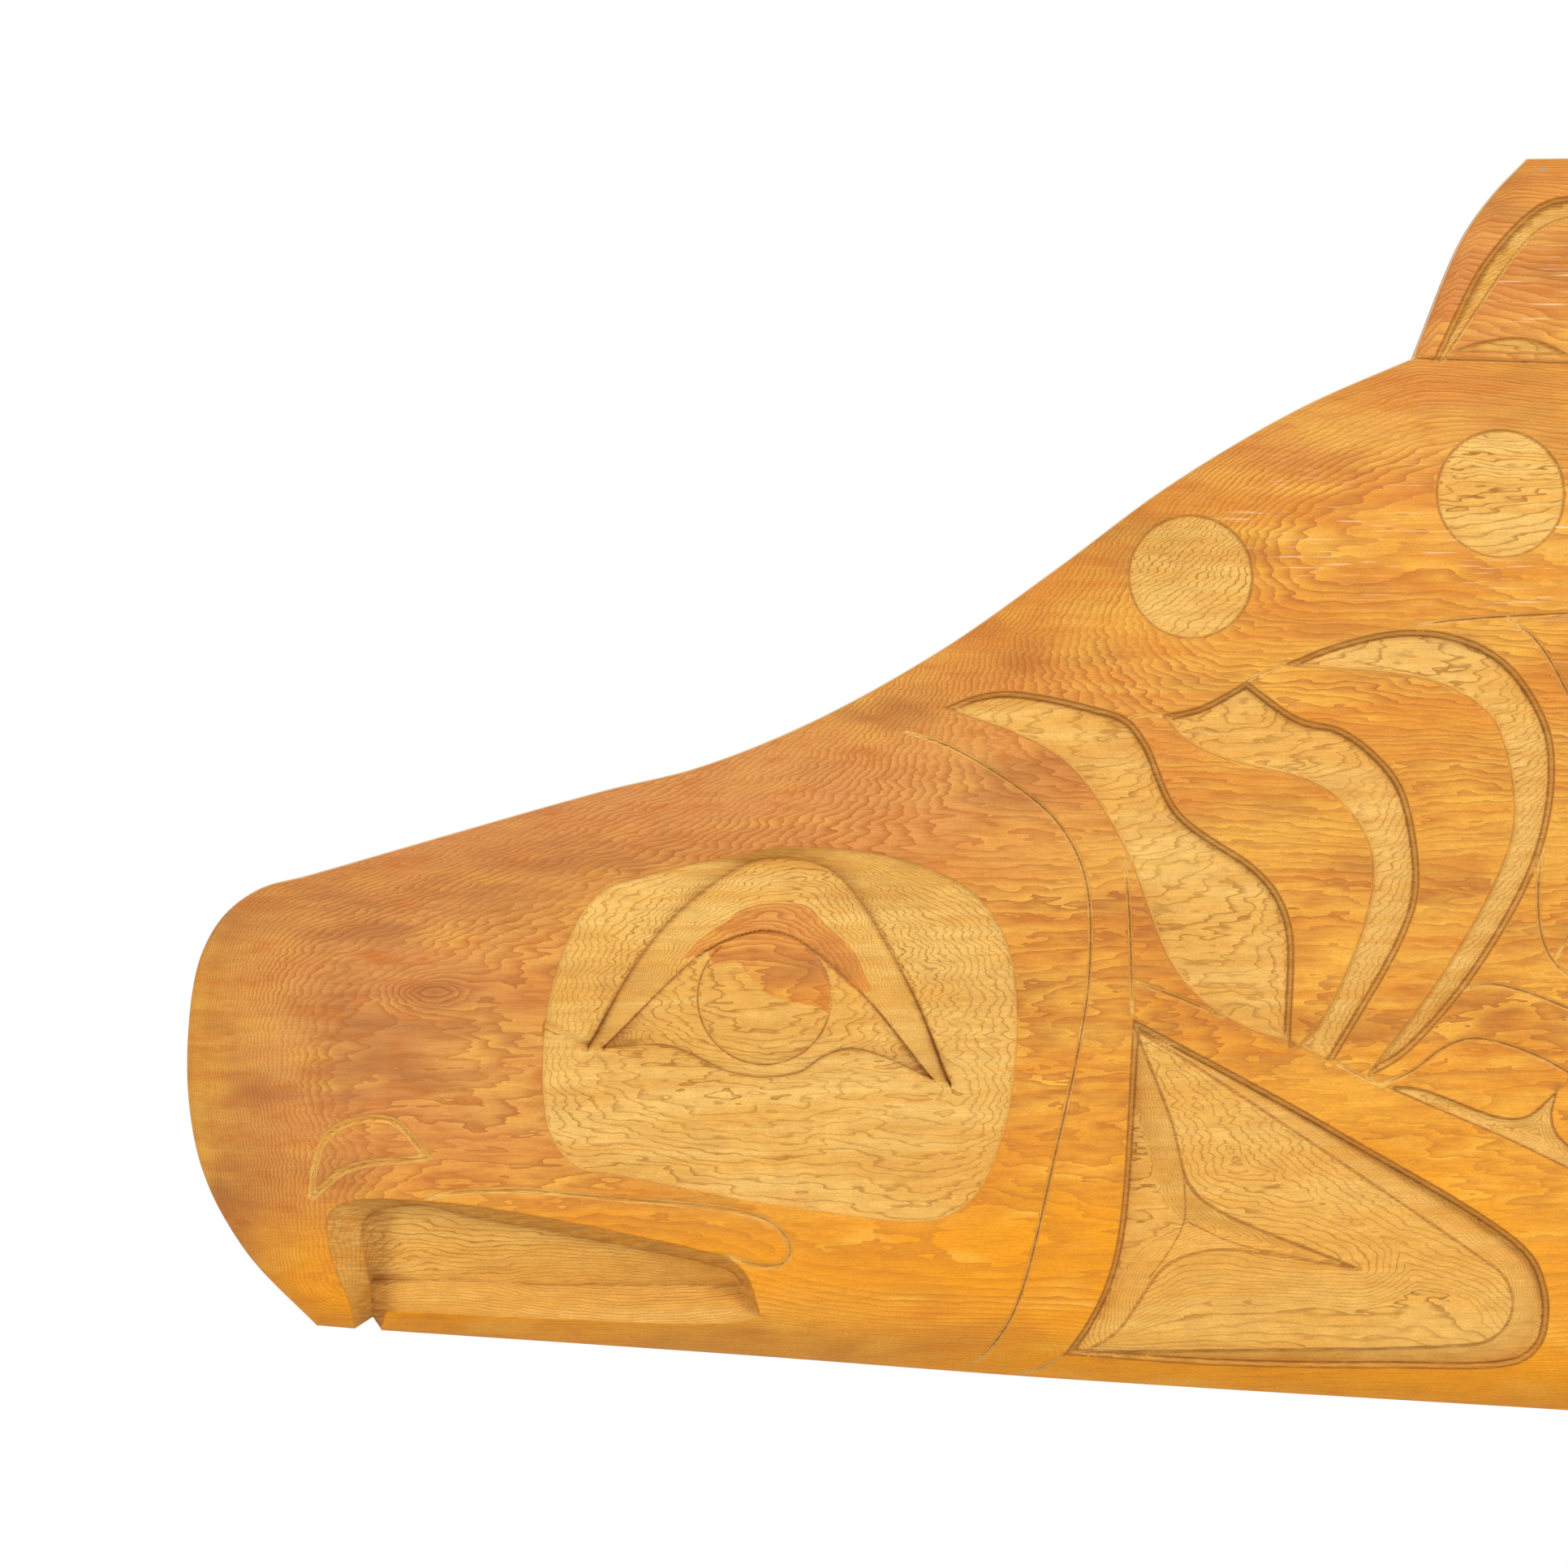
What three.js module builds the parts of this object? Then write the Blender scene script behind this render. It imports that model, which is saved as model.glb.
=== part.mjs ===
// Cedar salmon carved in relief from one thick plank, flat at the back and made to hang on a wall.
// Millimetres, +Z up. The head points to -X, the carved face to -Y, and the flat back is y = 0.
// The origin is on the back, at the hanging point above the middle of the weight.
// Curves of the drawing are in thousandths of the fish's length, as pairs of numbers: how far along
// from the snout, and how far up from the level of the snout.

import * as THREE from 'three';

const LENGTH = 1604;
const SHARE = LENGTH / 1000;
const HANG_ALONG = 461 * SHARE;
const HANG_UP = 120 * SHARE;

// Thickness of the body and how it rounds over towards its edges
const CREST = 66;
const CROWN = 7;
const TAIL_THINNING = 14;
const BACK_EDGE = 24;
const BACK_ROUNDING = 92;
const BELLY_EDGE = 50;
const BELLY_ROUNDING = 28;
const ROUNDING_POWER = 2.2;

// Fins and tail are flat plates that spring from the body's edge
const PLATE = 27;
const PLATE_EDGE_DROP = 5;
const PLATE_ROUNDING = 8;

// Tool cuts
const GROOVE_WIDTH = 3.2;
const GROOVE_DEPTH = 2.2;
const GROOVE_RUN_OUT = 26;
const SPOT_DEPTH = 1.8;
const SPOT_WALL = 1.2;
const SOCKET_STEP = 0.8;
const LID_DEPTH = 6;
const EYE_CORNER_DEPTH = 9;
const EYE_RIM_DEPTH = 3.8;
const LIP_BEVEL_DEPTH = 8;
const MOUTH_DEPTH = 18;
const CRESCENT_DEPTH = 6;
const CRESCENT_SOFT_DEPTH = 2;
const CRESCENT_WALL = 2.6;
const CRESCENT_SOFT_WALL = 1.6;
const BLADE_DEPTH = 1.2;
const GROUND_SLOPE = 0.42;
const GROUND_DEPTH = 8;
const GROUND_WALL = 2.6;
const FIN_BAND_DEPTH = 5;
const FIN_BAND_SLOPE = 0.3;
const NOTCH_DEPTH = 4.5;
const NOTCH_SLOPE = 0.4;
const NOTCH_STEP = 0.8;
const FORM_DEPTH = 3;
const FORM_WALL = 1.5;
const EYE_CENTRE_DEPTH = 0.5;
const EYE_REACH = [50, 25];
const EYE_CORNER_REACH = 8.1;
const HOLLOW_REACH = 12.5;

// Spacing of the points that carry the surface
const ROW_STEP = 11;
const FILL_STEP = 27;
const FINE_STEP = 10;
const CLOSEST = 1.1;
const EDGE_ROW = 5;

// Outline of the whole fish, stroke by stroke, meeting at corners: snout, back, dorsal fin, back,
// small fin, tail stock, tail, anal fin, belly and the notch under the jaw
const OUTLINE = [
  [[51.9, -79.1], [40.2, -78.1]],
  [[40.2, -78.1], [17.7, -55.1], [5.2, -32.4], [0.2, -7.5], [1.2, 22.4], [4.7, 36.9], [11.5, 48.1],
    [22.2, 56.1], [37.7, 60.4], [127.5, 86.1], [157.4, 93.5], [192.3, 107.5], [232.2, 129.7],
    [267.1, 154.2], [302.1, 180.1], [342, 203.8], [377.4, 219.5]],
  [[377.4, 219.5], [392.6, 256.2], [402.3, 270.1], [412.8, 281.1]],
  [[412.8, 281.1], [442.2, 281.4], [471.7, 281.1]],
  [[471.7, 281.1], [491.6, 272.4], [507.1, 254.4], [517.8, 233.2], [527.8, 215]],
  [[527.8, 215], [591.4, 203], [656.3, 179.6], [691.2, 161.6], [731.1, 137.7]],
  [[731.1, 137.7], [753.6, 145.9], [776, 147.7], [789, 144.2], [788, 135.9], [766, 117.7]],
  [[766, 117.7], [805.9, 100.3], [845.8, 88.6], [870.8, 87.8]],
  [[870.8, 87.8], [890.7, 98.5], [943.1, 139.7], [968.1, 153.4], [988, 159.6], [999.3, 156.1]],
  [[999.3, 156.1], [983, 109.8], [972.6, 72.3], [970.1, 33.7], [974.1, -3.7], [984.5, -38.7],
    [998.5, -74.3], [1000, -86.8]],
  [[1000, -86.8], [988, -90.3], [943.1, -69.8], [890.7, -31.2], [870.8, -21.2]],
  [[870.8, -21.2], [830.9, -24.9], [791, -35.4], [751.1, -49.9]],
  [[751.1, -49.9], [746.6, -67.3], [738.6, -84.8], [726.1, -100.3], [718.6, -104.3]],
  [[718.6, -104.3], [706.2, -101.8], [691.2, -92.3], [678.7, -77.8]],
  [[678.7, -77.8], [636.3, -93], [581.4, -105.3], [524.1, -110.3], [471.7, -107.3],
    [424.8, -104.2], [267.1, -94.4], [167, -86.9], [60.1, -79.6]],
  [[60.1, -79.6], [57.4, -75.6]],
  [[57.4, -75.6], [51.9, -79.1]],
];
const DORSAL_ROOT = [[377.4, 219.5], [441.8, 217.5], [491.6, 216.5], [527.8, 215]];
const SMALL_FIN_ROOT = [[731.1, 137.7], [749.8, 129.7], [766, 117.7]];
const TAIL_ROOT = [[870.8, 87.8], [890.7, 72.3], [903.2, 52.4], [907.2, 33.4], [903.2, 14.5],
  [890.7, -5.7], [870.8, -21.2]];
const ANAL_ROOT = [[751.1, -49.9], [715, -65.1], [678.7, -77.8]];

// Incised lines of the head and body
const NOSTRIL = [
  [[38.7, -38.9], [39.7, -29.9], [42.7, -21.2], [48.9, -16.2], [63.4, -15], [74.6, -26.4]],
  [[74.6, -26.4], [50.1, -29.9], [38.7, -38.9]],
];
const LIP_LINE = [[74.6, -38.4], [85.1, -36.9], [102.5, -36.4], [127.5, -38.4], [168.6, -42.7],
  [178.6, -45.6], [184.3, -50.6], [185.6, -56.1], [182.8, -59.1], [177.4, -59.6], [166.6, -56.6]];
const CHEEK_LINE = [[221.8, 104.3], [237.2, 98.5], [264.7, 79.8], [273.4, 67.3], [277.1, 54.9],
  [277.6, 32.4], [275.6, 15], [267.1, -24.9], [255.9, -69.8], [249.2, -82.3], [241.7, -90.2]];
const GILL_LINE = [[288.4, 64.9], [289.8, 47.4], [290.6, 18]];
const GILL_LINE_FOOT = [[269, -87.6], [263.5, -90.8], [256.5, -93]];
const NECK_LINE = [[289.5, 108.6], [294.5, 109.4], [299, 109.2]];
const SHOULDER_LINE = [[378, 137], [391.9, 138.7], [466.7, 141.7], [529.1, 138.4],
  [603.9, 124.7], [678.7, 101], [753.6, 74.8], [830.9, 53.6]];
const JOINT_LINE = [[406.1, 139.2], [415.6, 131], [432.3, 94.8], [434.3, 72.3], [429.3, 52.4],
  [420.6, 34.9]];
const HOLLOW_LINE = [[416.3, 67.3], [415.1, 54.9], [416.3, 41.2], [420.3, 33.2], [428, 26.9]];
const FLANK_LINE = [[291.5, 27.6], [306, 22.2], [318, 17]];
const FLANK_LINE_END = [[353.5, 2.4], [361, -1.4], [366.9, -4.2]];
const UPPER_SCALE_LINE = [[392.6, 25.2], [400.6, 26.9], [424.8, 19.2], [444.3, 7.5],
  [479.2, -22.9], [504.1, -32.4], [541.5, -29.9]];
const LOWER_SCALE_LINE = [[366.9, -4.2], [376.9, 0.5], [385.6, 7], [394.4, 10.2], [406.8, 8],
  [424.8, -0.5], [454.2, -24.9]];
const SIDE_LINE = [[454.2, -34.9], [504.1, -39.4], [566.5, -33.7], [716.1, 5], [791, 21.2],
  [865.8, 28.7]];

// Mouth: its rim, the foot of the lip's bevel and the crease at the bottom
const MOUTH_RIM = [
  [[52.1, -78.8], [50.1, -69.8], [46.4, -62.4], [43.4, -46.1], [46.1, -41.7], [52.6, -39.4],
    [82.6, -40.4], [122.5, -46.9], [166.6, -56.6]],
  [[166.6, -56.6], [172.4, -62.4], [176.9, -75.3]],
  [[176.9, -75.3], [167.4, -77.3], [61.4, -73.8]],
  [[61.4, -73.8], [59.6, -79.1]],
];
const MOUTH_BEVEL_FOOT = [[57.4, -76.3], [57.1, -67.3], [54.4, -48.6], [56.4, -44.2],
  [70.1, -40.9], [87.6, -44.4], [137.4, -53.6], [163.6, -57.1], [168.6, -61.9], [174.8, -72.5]];
const MOUTH_CREASE = [[58.1, -64.1], [82.6, -64.1], [112.5, -65.6], [170.4, -65.6]];

// Eye: the shallow ovoid socket, the lid's outer arc, the opening's two edges and the middle of the
// iris
const SOCKET = [[[182.3, 69.3], [207.3, 67.8], [227.2, 62.9], [243.5, 53.6], [252.2, 39.9],
  [255.2, 23.7], [254.7, 0], [250.2, -22.4], [243.5, -36.9], [232.2, -45.1], [187.3, -41.9],
  [132.5, -31.7], [120.5, -29.4], [113, -21.2], [109.8, -7.5], [112.5, 26.2], [126.2, 54.1],
  [142.4, 60.4], [182.3, 69.3]]];
const LID_OUTER = [[124, 8], [139.9, 35.4], [152.4, 49.9], [174.4, 64.6], [192.3, 64.6],
  [202.3, 58.6], [222.2, 26.2], [234.7, -3.7]];
const LID_INNER = [[128.7, 7.5], [158.6, 36.2], [168.6, 41.2], [177.8, 43.2], [187.3, 40.9],
  [207.3, 24.4], [229, -2]];
const LID_LOWER = [[229, -2], [212.3, 5.5], [203.5, 7.2], [196.1, 5], [188.6, 0], [177.8, -1.5],
  [167.4, 0], [148.7, 8], [128.7, 7.5]];
const IRIS = [177.8, 22.7];

// Gill crescents: the deep side and the soft side of each
const CRESCENTS = [
  {
    deep: [[[233.5, 111.7], [242.2, 115.2], [253.4, 116.7], [279.6, 111.7], [289.1, 108.3],
      [295.1, 101], [305.1, 79.8], [328.3, 62.9], [335, 55.4], [339.5, 43.7], [339, 9]]],
    soft: [[[233.5, 111.7], [260.9, 101], [273.4, 91.8], [288.4, 68.6], [301.6, 34.9],
      [310.8, 22.9], [323.3, 14.5], [339, 9]]],
  },
  {
    deep: [[[300.1, 109.3], [312, 112.2], [325.8, 119.7]],
      [[325.8, 119.7], [342, 108.5], [354.5, 105.3], [365.7, 97.3], [373.9, 86.1],
        [378.4, 57.4], [374.4, 42.4], [352, 3]]],
    soft: [[[300.1, 109.3], [307.1, 101.8], [317, 96.8], [347, 88.3], [357.4, 79.8],
      [363.4, 69.3], [364.4, 58.6], [360.9, 42.4], [348.2, 15], [341.5, 8]],
    [[341.5, 8], [352, 3]]],
  },
  {
    deep: [[[337, 124.7], [352, 130.7], [371.9, 135.2], [389.4, 133.9], [404.3, 126.7],
      [414.8, 113.5], [419.8, 98.5], [416.3, 68.6], [397.4, 32.4], [374.4, 5.5], [361.9, -2]]],
    soft: [[[337, 124.7], [374.4, 121.7], [389.4, 117.2], [401.8, 107.3], [407.8, 78.6],
      [403.1, 61.1], [385.6, 29.9], [361.9, -2]]],
  },
];

// Side fin: the wall round the ground that is cut away, and the blade left standing in it
const SIDE_FIN_WALL = [
  [[291.1, 16], [352, -17], [411.8, -54.4], [417.3, -64.9], [418.3, -74.8], [416.1, -83.6],
    [409.3, -89.3], [366.9, -90.8], [317, -90], [270.1, -86.8]],
  [[270.1, -86.8], [276.6, -77.3], [282.6, -64.9], [286.6, -48.6], [291.1, 16]],
];
const SIDE_FIN_BLADE = [
  [[291.6, 13], [309.6, 2], [394.4, -54.9], [404.3, -62.4], [407.3, -69.8], [405.6, -77.3],
    [399.4, -82.6], [386.9, -84.1], [275.9, -86.1]],
  [[275.9, -86.1], [285.9, -79.8], [300.1, -60.4], [307.6, -56.4], [318.3, -54.6], [360.7, -60.6]],
  [[360.7, -60.6], [317, -42.4], [308.6, -35.4], [302.6, -15], [291.6, 13]],
];

// Dorsal fin: the sunk band that follows its edge and the small lens at its root
const FIN_BAND_WALL = [[383.9, 219.2], [399.9, 249.9], [416.8, 266.9], [426.8, 269.4],
  [456.7, 269.4], [471.7, 265.9], [486.7, 254.4], [497.9, 238.2], [507.1, 216]];
const FIN_FIELD = [[386.9, 219.1], [411.8, 254.9], [419.3, 260.9], [428, 263.2], [454.2, 263.4],
  [466.7, 260.4], [480.4, 249.9], [491.1, 235.7], [500.6, 216.2]];
const FIN_LENS = [[[389.6, 221.4], [397.6, 224.4], [413.3, 225.6], [426.3, 220.4]],
  [[426.3, 220.4], [407, 221], [389.6, 221.4]]];

// Three-cornered notch below the flank line, and the two open forms in the tail
const FLANK_NOTCH = [
  [[368.2, -4.5], [378.1, -5], [404.3, -14], [411.8, -13.5], [421.1, -5.5]],
  [[421.1, -5.5], [419.3, -13.7], [421.3, -19.5], [439.3, -31.4], [454.2, -34.9]],
  [[454.2, -34.9], [436.8, -34.2], [404.3, -20], [368.2, -4.5]],
];
const TAIL_FORMS = [
  [[[910.7, 83.6], [930.7, 107.3], [978, 141.7]], [[978, 141.7], [958.1, 77.3], [956.1, 52.4]],
    [[956.1, 52.4], [943.1, 64.9], [910.7, 83.6]]],
  [[[910.7, -17], [930.7, -36.2], [979.3, -71.1]], [[979.3, -71.1], [958.8, -10], [956.1, 14.5]],
    [[956.1, 14.5], [943.1, 2], [910.7, -17]]],
];

// Round spots along the back: along, up and radius
const SPOTS = [[308.8, 151.9, 19], [403.8, 177.4, 19.7], [500.4, 179.6, 19.2], [593.9, 165.9, 17.5],
  [681.2, 138.4, 15]];

const clamp = (t) => Math.min(1, Math.max(0, t));
const smooth = (t) => clamp(t) ** 2 * (3 - 2 * clamp(t));
const mix = (a, b, t) => a + (b - a) * t;

// One smooth stroke through its points, cut into even steps no longer than step.
function stroke(points, step) {
  if (points.length === 2 && step > 5) {
    return points.map(([u, v]) => new THREE.Vector2(u * SHARE, v * SHARE));
  }
  const line = new THREE.CatmullRomCurve3(
    points.map(([u, v]) => new THREE.Vector3(u * SHARE, v * SHARE, 0)), false, 'centripetal');
  line.arcLengthDivisions = 400;
  const pieces = Math.max(1, Math.ceil(line.getLength() / step));
  return line.getSpacedPoints(pieces).map((p) => new THREE.Vector2(p.x, p.y));
}

// A curve of the drawing as a fine chain of points, with what the cuts ask of it.
class Curve {
  constructor(strokes, closed = false) {
    this.strokes = strokes;
    this.closed = closed;
    this.chain = strokes.flatMap((s, i) => stroke(s, 3).slice(i === 0 ? 0 : 1));
    this.box = new THREE.Box2().setFromPoints(this.chain);
    this.start = this.chain[0];
    this.end = this.chain[this.chain.length - 1];
  }

  distance(p) {
    let best = Infinity;
    for (let i = 1; i < this.chain.length; i += 1) {
      const a = this.chain[i - 1];
      const b = this.chain[i];
      const dx = b.x - a.x;
      const dy = b.y - a.y;
      const t = clamp(((p.x - a.x) * dx + (p.y - a.y) * dy) / (dx * dx + dy * dy || 1));
      best = Math.min(best, (p.x - a.x - t * dx) ** 2 + (p.y - a.y - t * dy) ** 2);
    }
    return Math.sqrt(best);
  }

  contains(p) {
    let odd = false;
    const chain = this.chain;
    for (let i = 0, j = chain.length - 1; i < chain.length; j = i, i += 1) {
      const a = chain[i];
      const b = chain[j];
      if ((a.y > p.y) !== (b.y > p.y) && p.x < a.x + ((p.y - a.y) * (b.x - a.x)) / (b.y - a.y)) {
        odd = !odd;
      }
    }
    return odd;
  }

  near(p, margin) {
    return this.box.distanceToPoint(p) < margin;
  }
}

const reversed = (strokes) => [...strokes].reverse().map((s) => [...s].reverse());
const open = (points) => new Curve([points]);
const circle = ([u, v, r]) => new Curve([
  Array.from({ length: 17 }, (_, i) => [
    u + r * Math.cos((i * Math.PI) / 8), v + r * Math.sin((i * Math.PI) / 8)]),
], true);

const outline = new Curve(OUTLINE, true);
const body = new Curve([
  ...OUTLINE.slice(0, 2), DORSAL_ROOT, OUTLINE[5], SMALL_FIN_ROOT, OUTLINE[7], TAIL_ROOT,
  OUTLINE[11], ANAL_ROOT, ...OUTLINE.slice(14),
], true);
const roots = [DORSAL_ROOT, SMALL_FIN_ROOT, TAIL_ROOT, ANAL_ROOT].map(open);
const nostril = new Curve(NOSTRIL, true);
const grooves = [LIP_LINE, CHEEK_LINE, GILL_LINE, GILL_LINE_FOOT, NECK_LINE, SHOULDER_LINE,
  JOINT_LINE, HOLLOW_LINE, FLANK_LINE, FLANK_LINE_END, UPPER_SCALE_LINE, LOWER_SCALE_LINE,
  SIDE_LINE].map(open);
const mouth = new Curve(MOUTH_RIM, true);
const bevelFoot = open(MOUTH_BEVEL_FOOT);
const mouthFloor = new Curve([MOUTH_BEVEL_FOOT, [[174.8, -72.5], [176.9, -75.3]],
  ...MOUTH_RIM.slice(2)], true);
const mouthCrease = open(MOUTH_CREASE);
const lowerRim = open(MOUTH_RIM[2]);
const socket = new Curve(SOCKET, true);
const lidOuter = open(LID_OUTER);
const lidInner = open(LID_INNER);
const lidLower = open(LID_LOWER);
const opening = new Curve([LID_INNER, LID_LOWER], true);
const lid = new Curve([LID_OUTER, [[234.7, -3.7], [229, -2]], ...reversed([LID_INNER])], true);
const crescents = CRESCENTS.map(({ deep, soft }) => ({
  deep: new Curve(deep),
  soft: new Curve(soft),
  whole: new Curve([...deep, ...reversed(soft)], true),
}));
const sideFinWall = new Curve(SIDE_FIN_WALL, true);
const sideFinBlade = new Curve(SIDE_FIN_BLADE, true);
const finBandWall = open(FIN_BAND_WALL);
const finField = open(FIN_FIELD);
const finBand = new Curve([FIN_BAND_WALL, ...reversed([FIN_FIELD])], true);
const sunkForms = [...TAIL_FORMS, FIN_LENS].map((strokes) => new Curve(strokes, true));
const flankNotch = new Curve(FLANK_NOTCH, true);
const spots = SPOTS.map(circle);

// The belly keeps the plank's sawn edge, and the rest of the body rounds over much further.
function belly(p) {
  return smooth((-p.y / SHARE - 45) / 30) * (1 - smooth((p.x / SHARE - 640) / 100));
}

const edgeSamples = body.chain.slice(1).map((b, i) => {
  const a = body.chain[i];
  const at = a.clone().add(b).multiplyScalar(0.5);
  const share = belly(at);
  return {
    at,
    reach: a.distanceTo(b),
    edge: mix(BACK_EDGE, BELLY_EDGE, share),
    rounding: mix(BACK_ROUNDING, BELLY_ROUNDING, share),
  };
});

// Height of the uncut body over the back: every stretch of edge pulls the surface down to its own
// thickness, the nearer the stronger.
function bodyHeight(p) {
  let pull = 0;
  let edge = 0;
  for (const s of edgeSamples) {
    const weight = (s.reach * s.rounding ** 3) / Math.max(0.5, s.at.distanceTo(p)) ** 4;
    pull += weight;
    edge += weight * s.edge;
  }
  const inward = Math.min((pull / (Math.PI / 2)) ** (-1 / 3), body.distance(p) / BELLY_ROUNDING);
  const crest = CREST - TAIL_THINNING * smooth((p.x / SHARE - 550) / 350);
  const fall = (1 - clamp(inward)) ** ROUNDING_POWER;
  const crown = CROWN * (1 - (1 - clamp(inward / 2.4)) ** 2);
  return crest - (crest - edge / pull) * fall + crown;
}

function plateHeight(p) {
  return PLATE - PLATE_EDGE_DROP * (1 - clamp(outline.distance(p) / PLATE_ROUNDING)) ** 2;
}

function uncutHeight(p) {
  const inward = body.distance(p) * (body.contains(p) ? 1 : -1);
  const atRoot = roots.some((root) => root.near(p, 6));
  if (!atRoot) {
    return inward > -1 ? bodyHeight(p) : plateHeight(p);
  }
  return mix(plateHeight(p), bodyHeight(p), smooth(0.5 + inward / 3));
}

// Cut of a V tool, running out at both ends.
function groove(line, p, width, depth, runOut) {
  if (!line.near(p, width)) {
    return 0;
  }
  const toEnd = Math.min(p.distanceTo(line.start), p.distanceTo(line.end));
  const full = runOut ? clamp(0.35 + toEnd / runOut) : 1;
  return depth * full * (1 - clamp(line.distance(p) / (width / 2)));
}

// Flat-bottomed form let into the face, a little deeper in the middle.
function sunk(form, p, depth, wall) {
  if (!form.near(p, 1) || !form.contains(p)) {
    return 0;
  }
  const inward = form.distance(p);
  return depth * (0.75 * clamp(inward / wall) + 0.25 * clamp(inward / (HOLLOW_REACH * SHARE)));
}

// Slope from one edge down to the other: 0 at from, 1 at to.
const between = (from, to, p) => from.distance(p) / (from.distance(p) + to.distance(p) + 1e-6);

function crescentCut({ deep, soft, whole }, p) {
  if (!whole.near(p, 1) || !whole.contains(p)) {
    return 0;
  }
  const floor = mix(CRESCENT_SOFT_DEPTH, CRESCENT_DEPTH, between(soft, deep, p) ** 1.6);
  const walls = clamp(deep.distance(p) / CRESCENT_WALL)
    * clamp(soft.distance(p) / CRESCENT_SOFT_WALL);
  return floor * walls;
}

// The ground falls from the blade's edge to the foot of the wall round it.
function sideFinCut(p) {
  if (!sideFinWall.near(p, 1) || !sideFinWall.contains(p)) {
    return 0;
  }
  const fromWall = clamp(sideFinWall.distance(p) / GROUND_WALL);
  if (sideFinBlade.contains(p)) {
    return BLADE_DEPTH * fromWall;
  }
  const ground = BLADE_DEPTH + 0.8 + GROUND_SLOPE * sideFinBlade.distance(p);
  return Math.min(GROUND_DEPTH, ground) * fromWall;
}

function finBandCut(p) {
  if (!finBand.near(p, 1) || !finBand.contains(p)) {
    return 0;
  }
  const floor = Math.min(FIN_BAND_DEPTH, 1.5 + FIN_BAND_SLOPE * finField.distance(p));
  return floor * clamp(finBandWall.distance(p) / GROUND_WALL);
}

function mouthCut(p) {
  if (!mouth.near(p, 1) || !mouth.contains(p)) {
    return 0;
  }
  if (!mouthFloor.contains(p)) {
    return LIP_BEVEL_DEPTH * between(mouth, bevelFoot, p);
  }
  const crease = mouthCrease.chain;
  const level = mix(crease[0].y, crease[crease.length - 1].y,
    clamp((p.x - crease[0].x) / (crease[crease.length - 1].x - crease[0].x)));
  if (p.y > level) {
    return mix(LIP_BEVEL_DEPTH + 2, MOUTH_DEPTH, between(bevelFoot, mouthCrease, p));
  }
  return MOUTH_DEPTH * between(lowerRim, mouthCrease, p) ** 0.8;
}

function eyeCut(p) {
  if (!socket.near(p, 1) || !socket.contains(p)) {
    return 0;
  }
  const corner = Math.min(p.distanceTo(opening.chain[0]), p.distanceTo(lidInner.end));
  const pit = (EYE_CORNER_DEPTH - EYE_RIM_DEPTH)
    * Math.exp(-((corner / (EYE_CORNER_REACH * SHARE)) ** 2));
  if (opening.contains(p)) {
    const out = Math.hypot((p.x / SHARE - IRIS[0]) / EYE_REACH[0],
      (p.y / SHARE - IRIS[1]) / EYE_REACH[1]);
    return mix(EYE_CENTRE_DEPTH, EYE_RIM_DEPTH, clamp(out) ** 2) + pit;
  }
  if (lid.contains(p)) {
    return mix(LID_DEPTH, SOCKET_STEP, between(lidOuter, lidInner, p) ** 0.8) + pit;
  }
  const above = smooth((p.y / SHARE - 5) / 40);
  const rim = mix(EYE_RIM_DEPTH, LID_DEPTH, above);
  const toEye = Math.min(lidOuter.distance(p), lidLower.distance(p));
  const fromEdge = socket.distance(p);
  return mix(SOCKET_STEP, rim, fromEdge / (fromEdge + toEye)) * clamp(fromEdge / SPOT_WALL)
    + 0.6 * pit;
}

function notchCut(p) {
  if (!flankNotch.near(p, 1) || !flankNotch.contains(p)) {
    return 0;
  }
  const inward = flankNotch.distance(p);
  return Math.min(NOTCH_DEPTH, NOTCH_STEP * clamp(inward / NOTCH_STEP) + NOTCH_SLOPE * inward);
}

function cutDepth(p) {
  return Math.max(
    ...grooves.map((line) => groove(line, p, GROOVE_WIDTH, GROOVE_DEPTH, GROOVE_RUN_OUT)),
    ...roots.map((line) => groove(line, p, GROOVE_WIDTH + 1, GROOVE_DEPTH, 0)),
    groove(nostril, p, GROOVE_WIDTH, GROOVE_DEPTH, 0),
    groove(finField, p, GROOVE_WIDTH, GROOVE_DEPTH, 0),
    ...spots.map((spot) => sunk(spot, p, SPOT_DEPTH, SPOT_WALL)),
    ...sunkForms.map((form) => sunk(form, p, FORM_DEPTH, FORM_WALL)),
    ...crescents.map((crescent) => crescentCut(crescent, p)),
    sideFinCut(p),
    finBandCut(p),
    mouthCut(p),
    eyeCut(p),
    notchCut(p),
  );
}

// Rows of points along a curve, each shifted sideways by one of the offsets. A positive offset of a
// closed curve is inside it.
function rows(curve, offsets, step) {
  const area = THREE.ShapeUtils.area(curve.chain);
  const side = curve.closed && area < 0 ? -1 : 1;
  return offsets.flatMap((offset) => curve.strokes.flatMap((points) => {
    const line = stroke(points, step);
    return line.map((p, i) => {
      const along = line[Math.min(i + 1, line.length - 1)].clone().sub(line[Math.max(i - 1, 0)]);
      const normal = new THREE.Vector2(-along.y, along.x).normalize();
      return p.clone().addScaledVector(normal, offset * side);
    });
  }));
}

// Points of an even three-cornered grid over a box.
function evenFill(box, step) {
  const size = box.getSize(new THREE.Vector2());
  const points = [];
  for (let j = 0; j * step * 0.866 <= size.y; j += 1) {
    for (let i = 0; i * step <= size.x; i += 1) {
      points.push(new THREE.Vector2(
        box.min.x + (i + (j % 2) / 2) * step, box.min.y + j * step * 0.866));
    }
  }
  return points;
}

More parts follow.
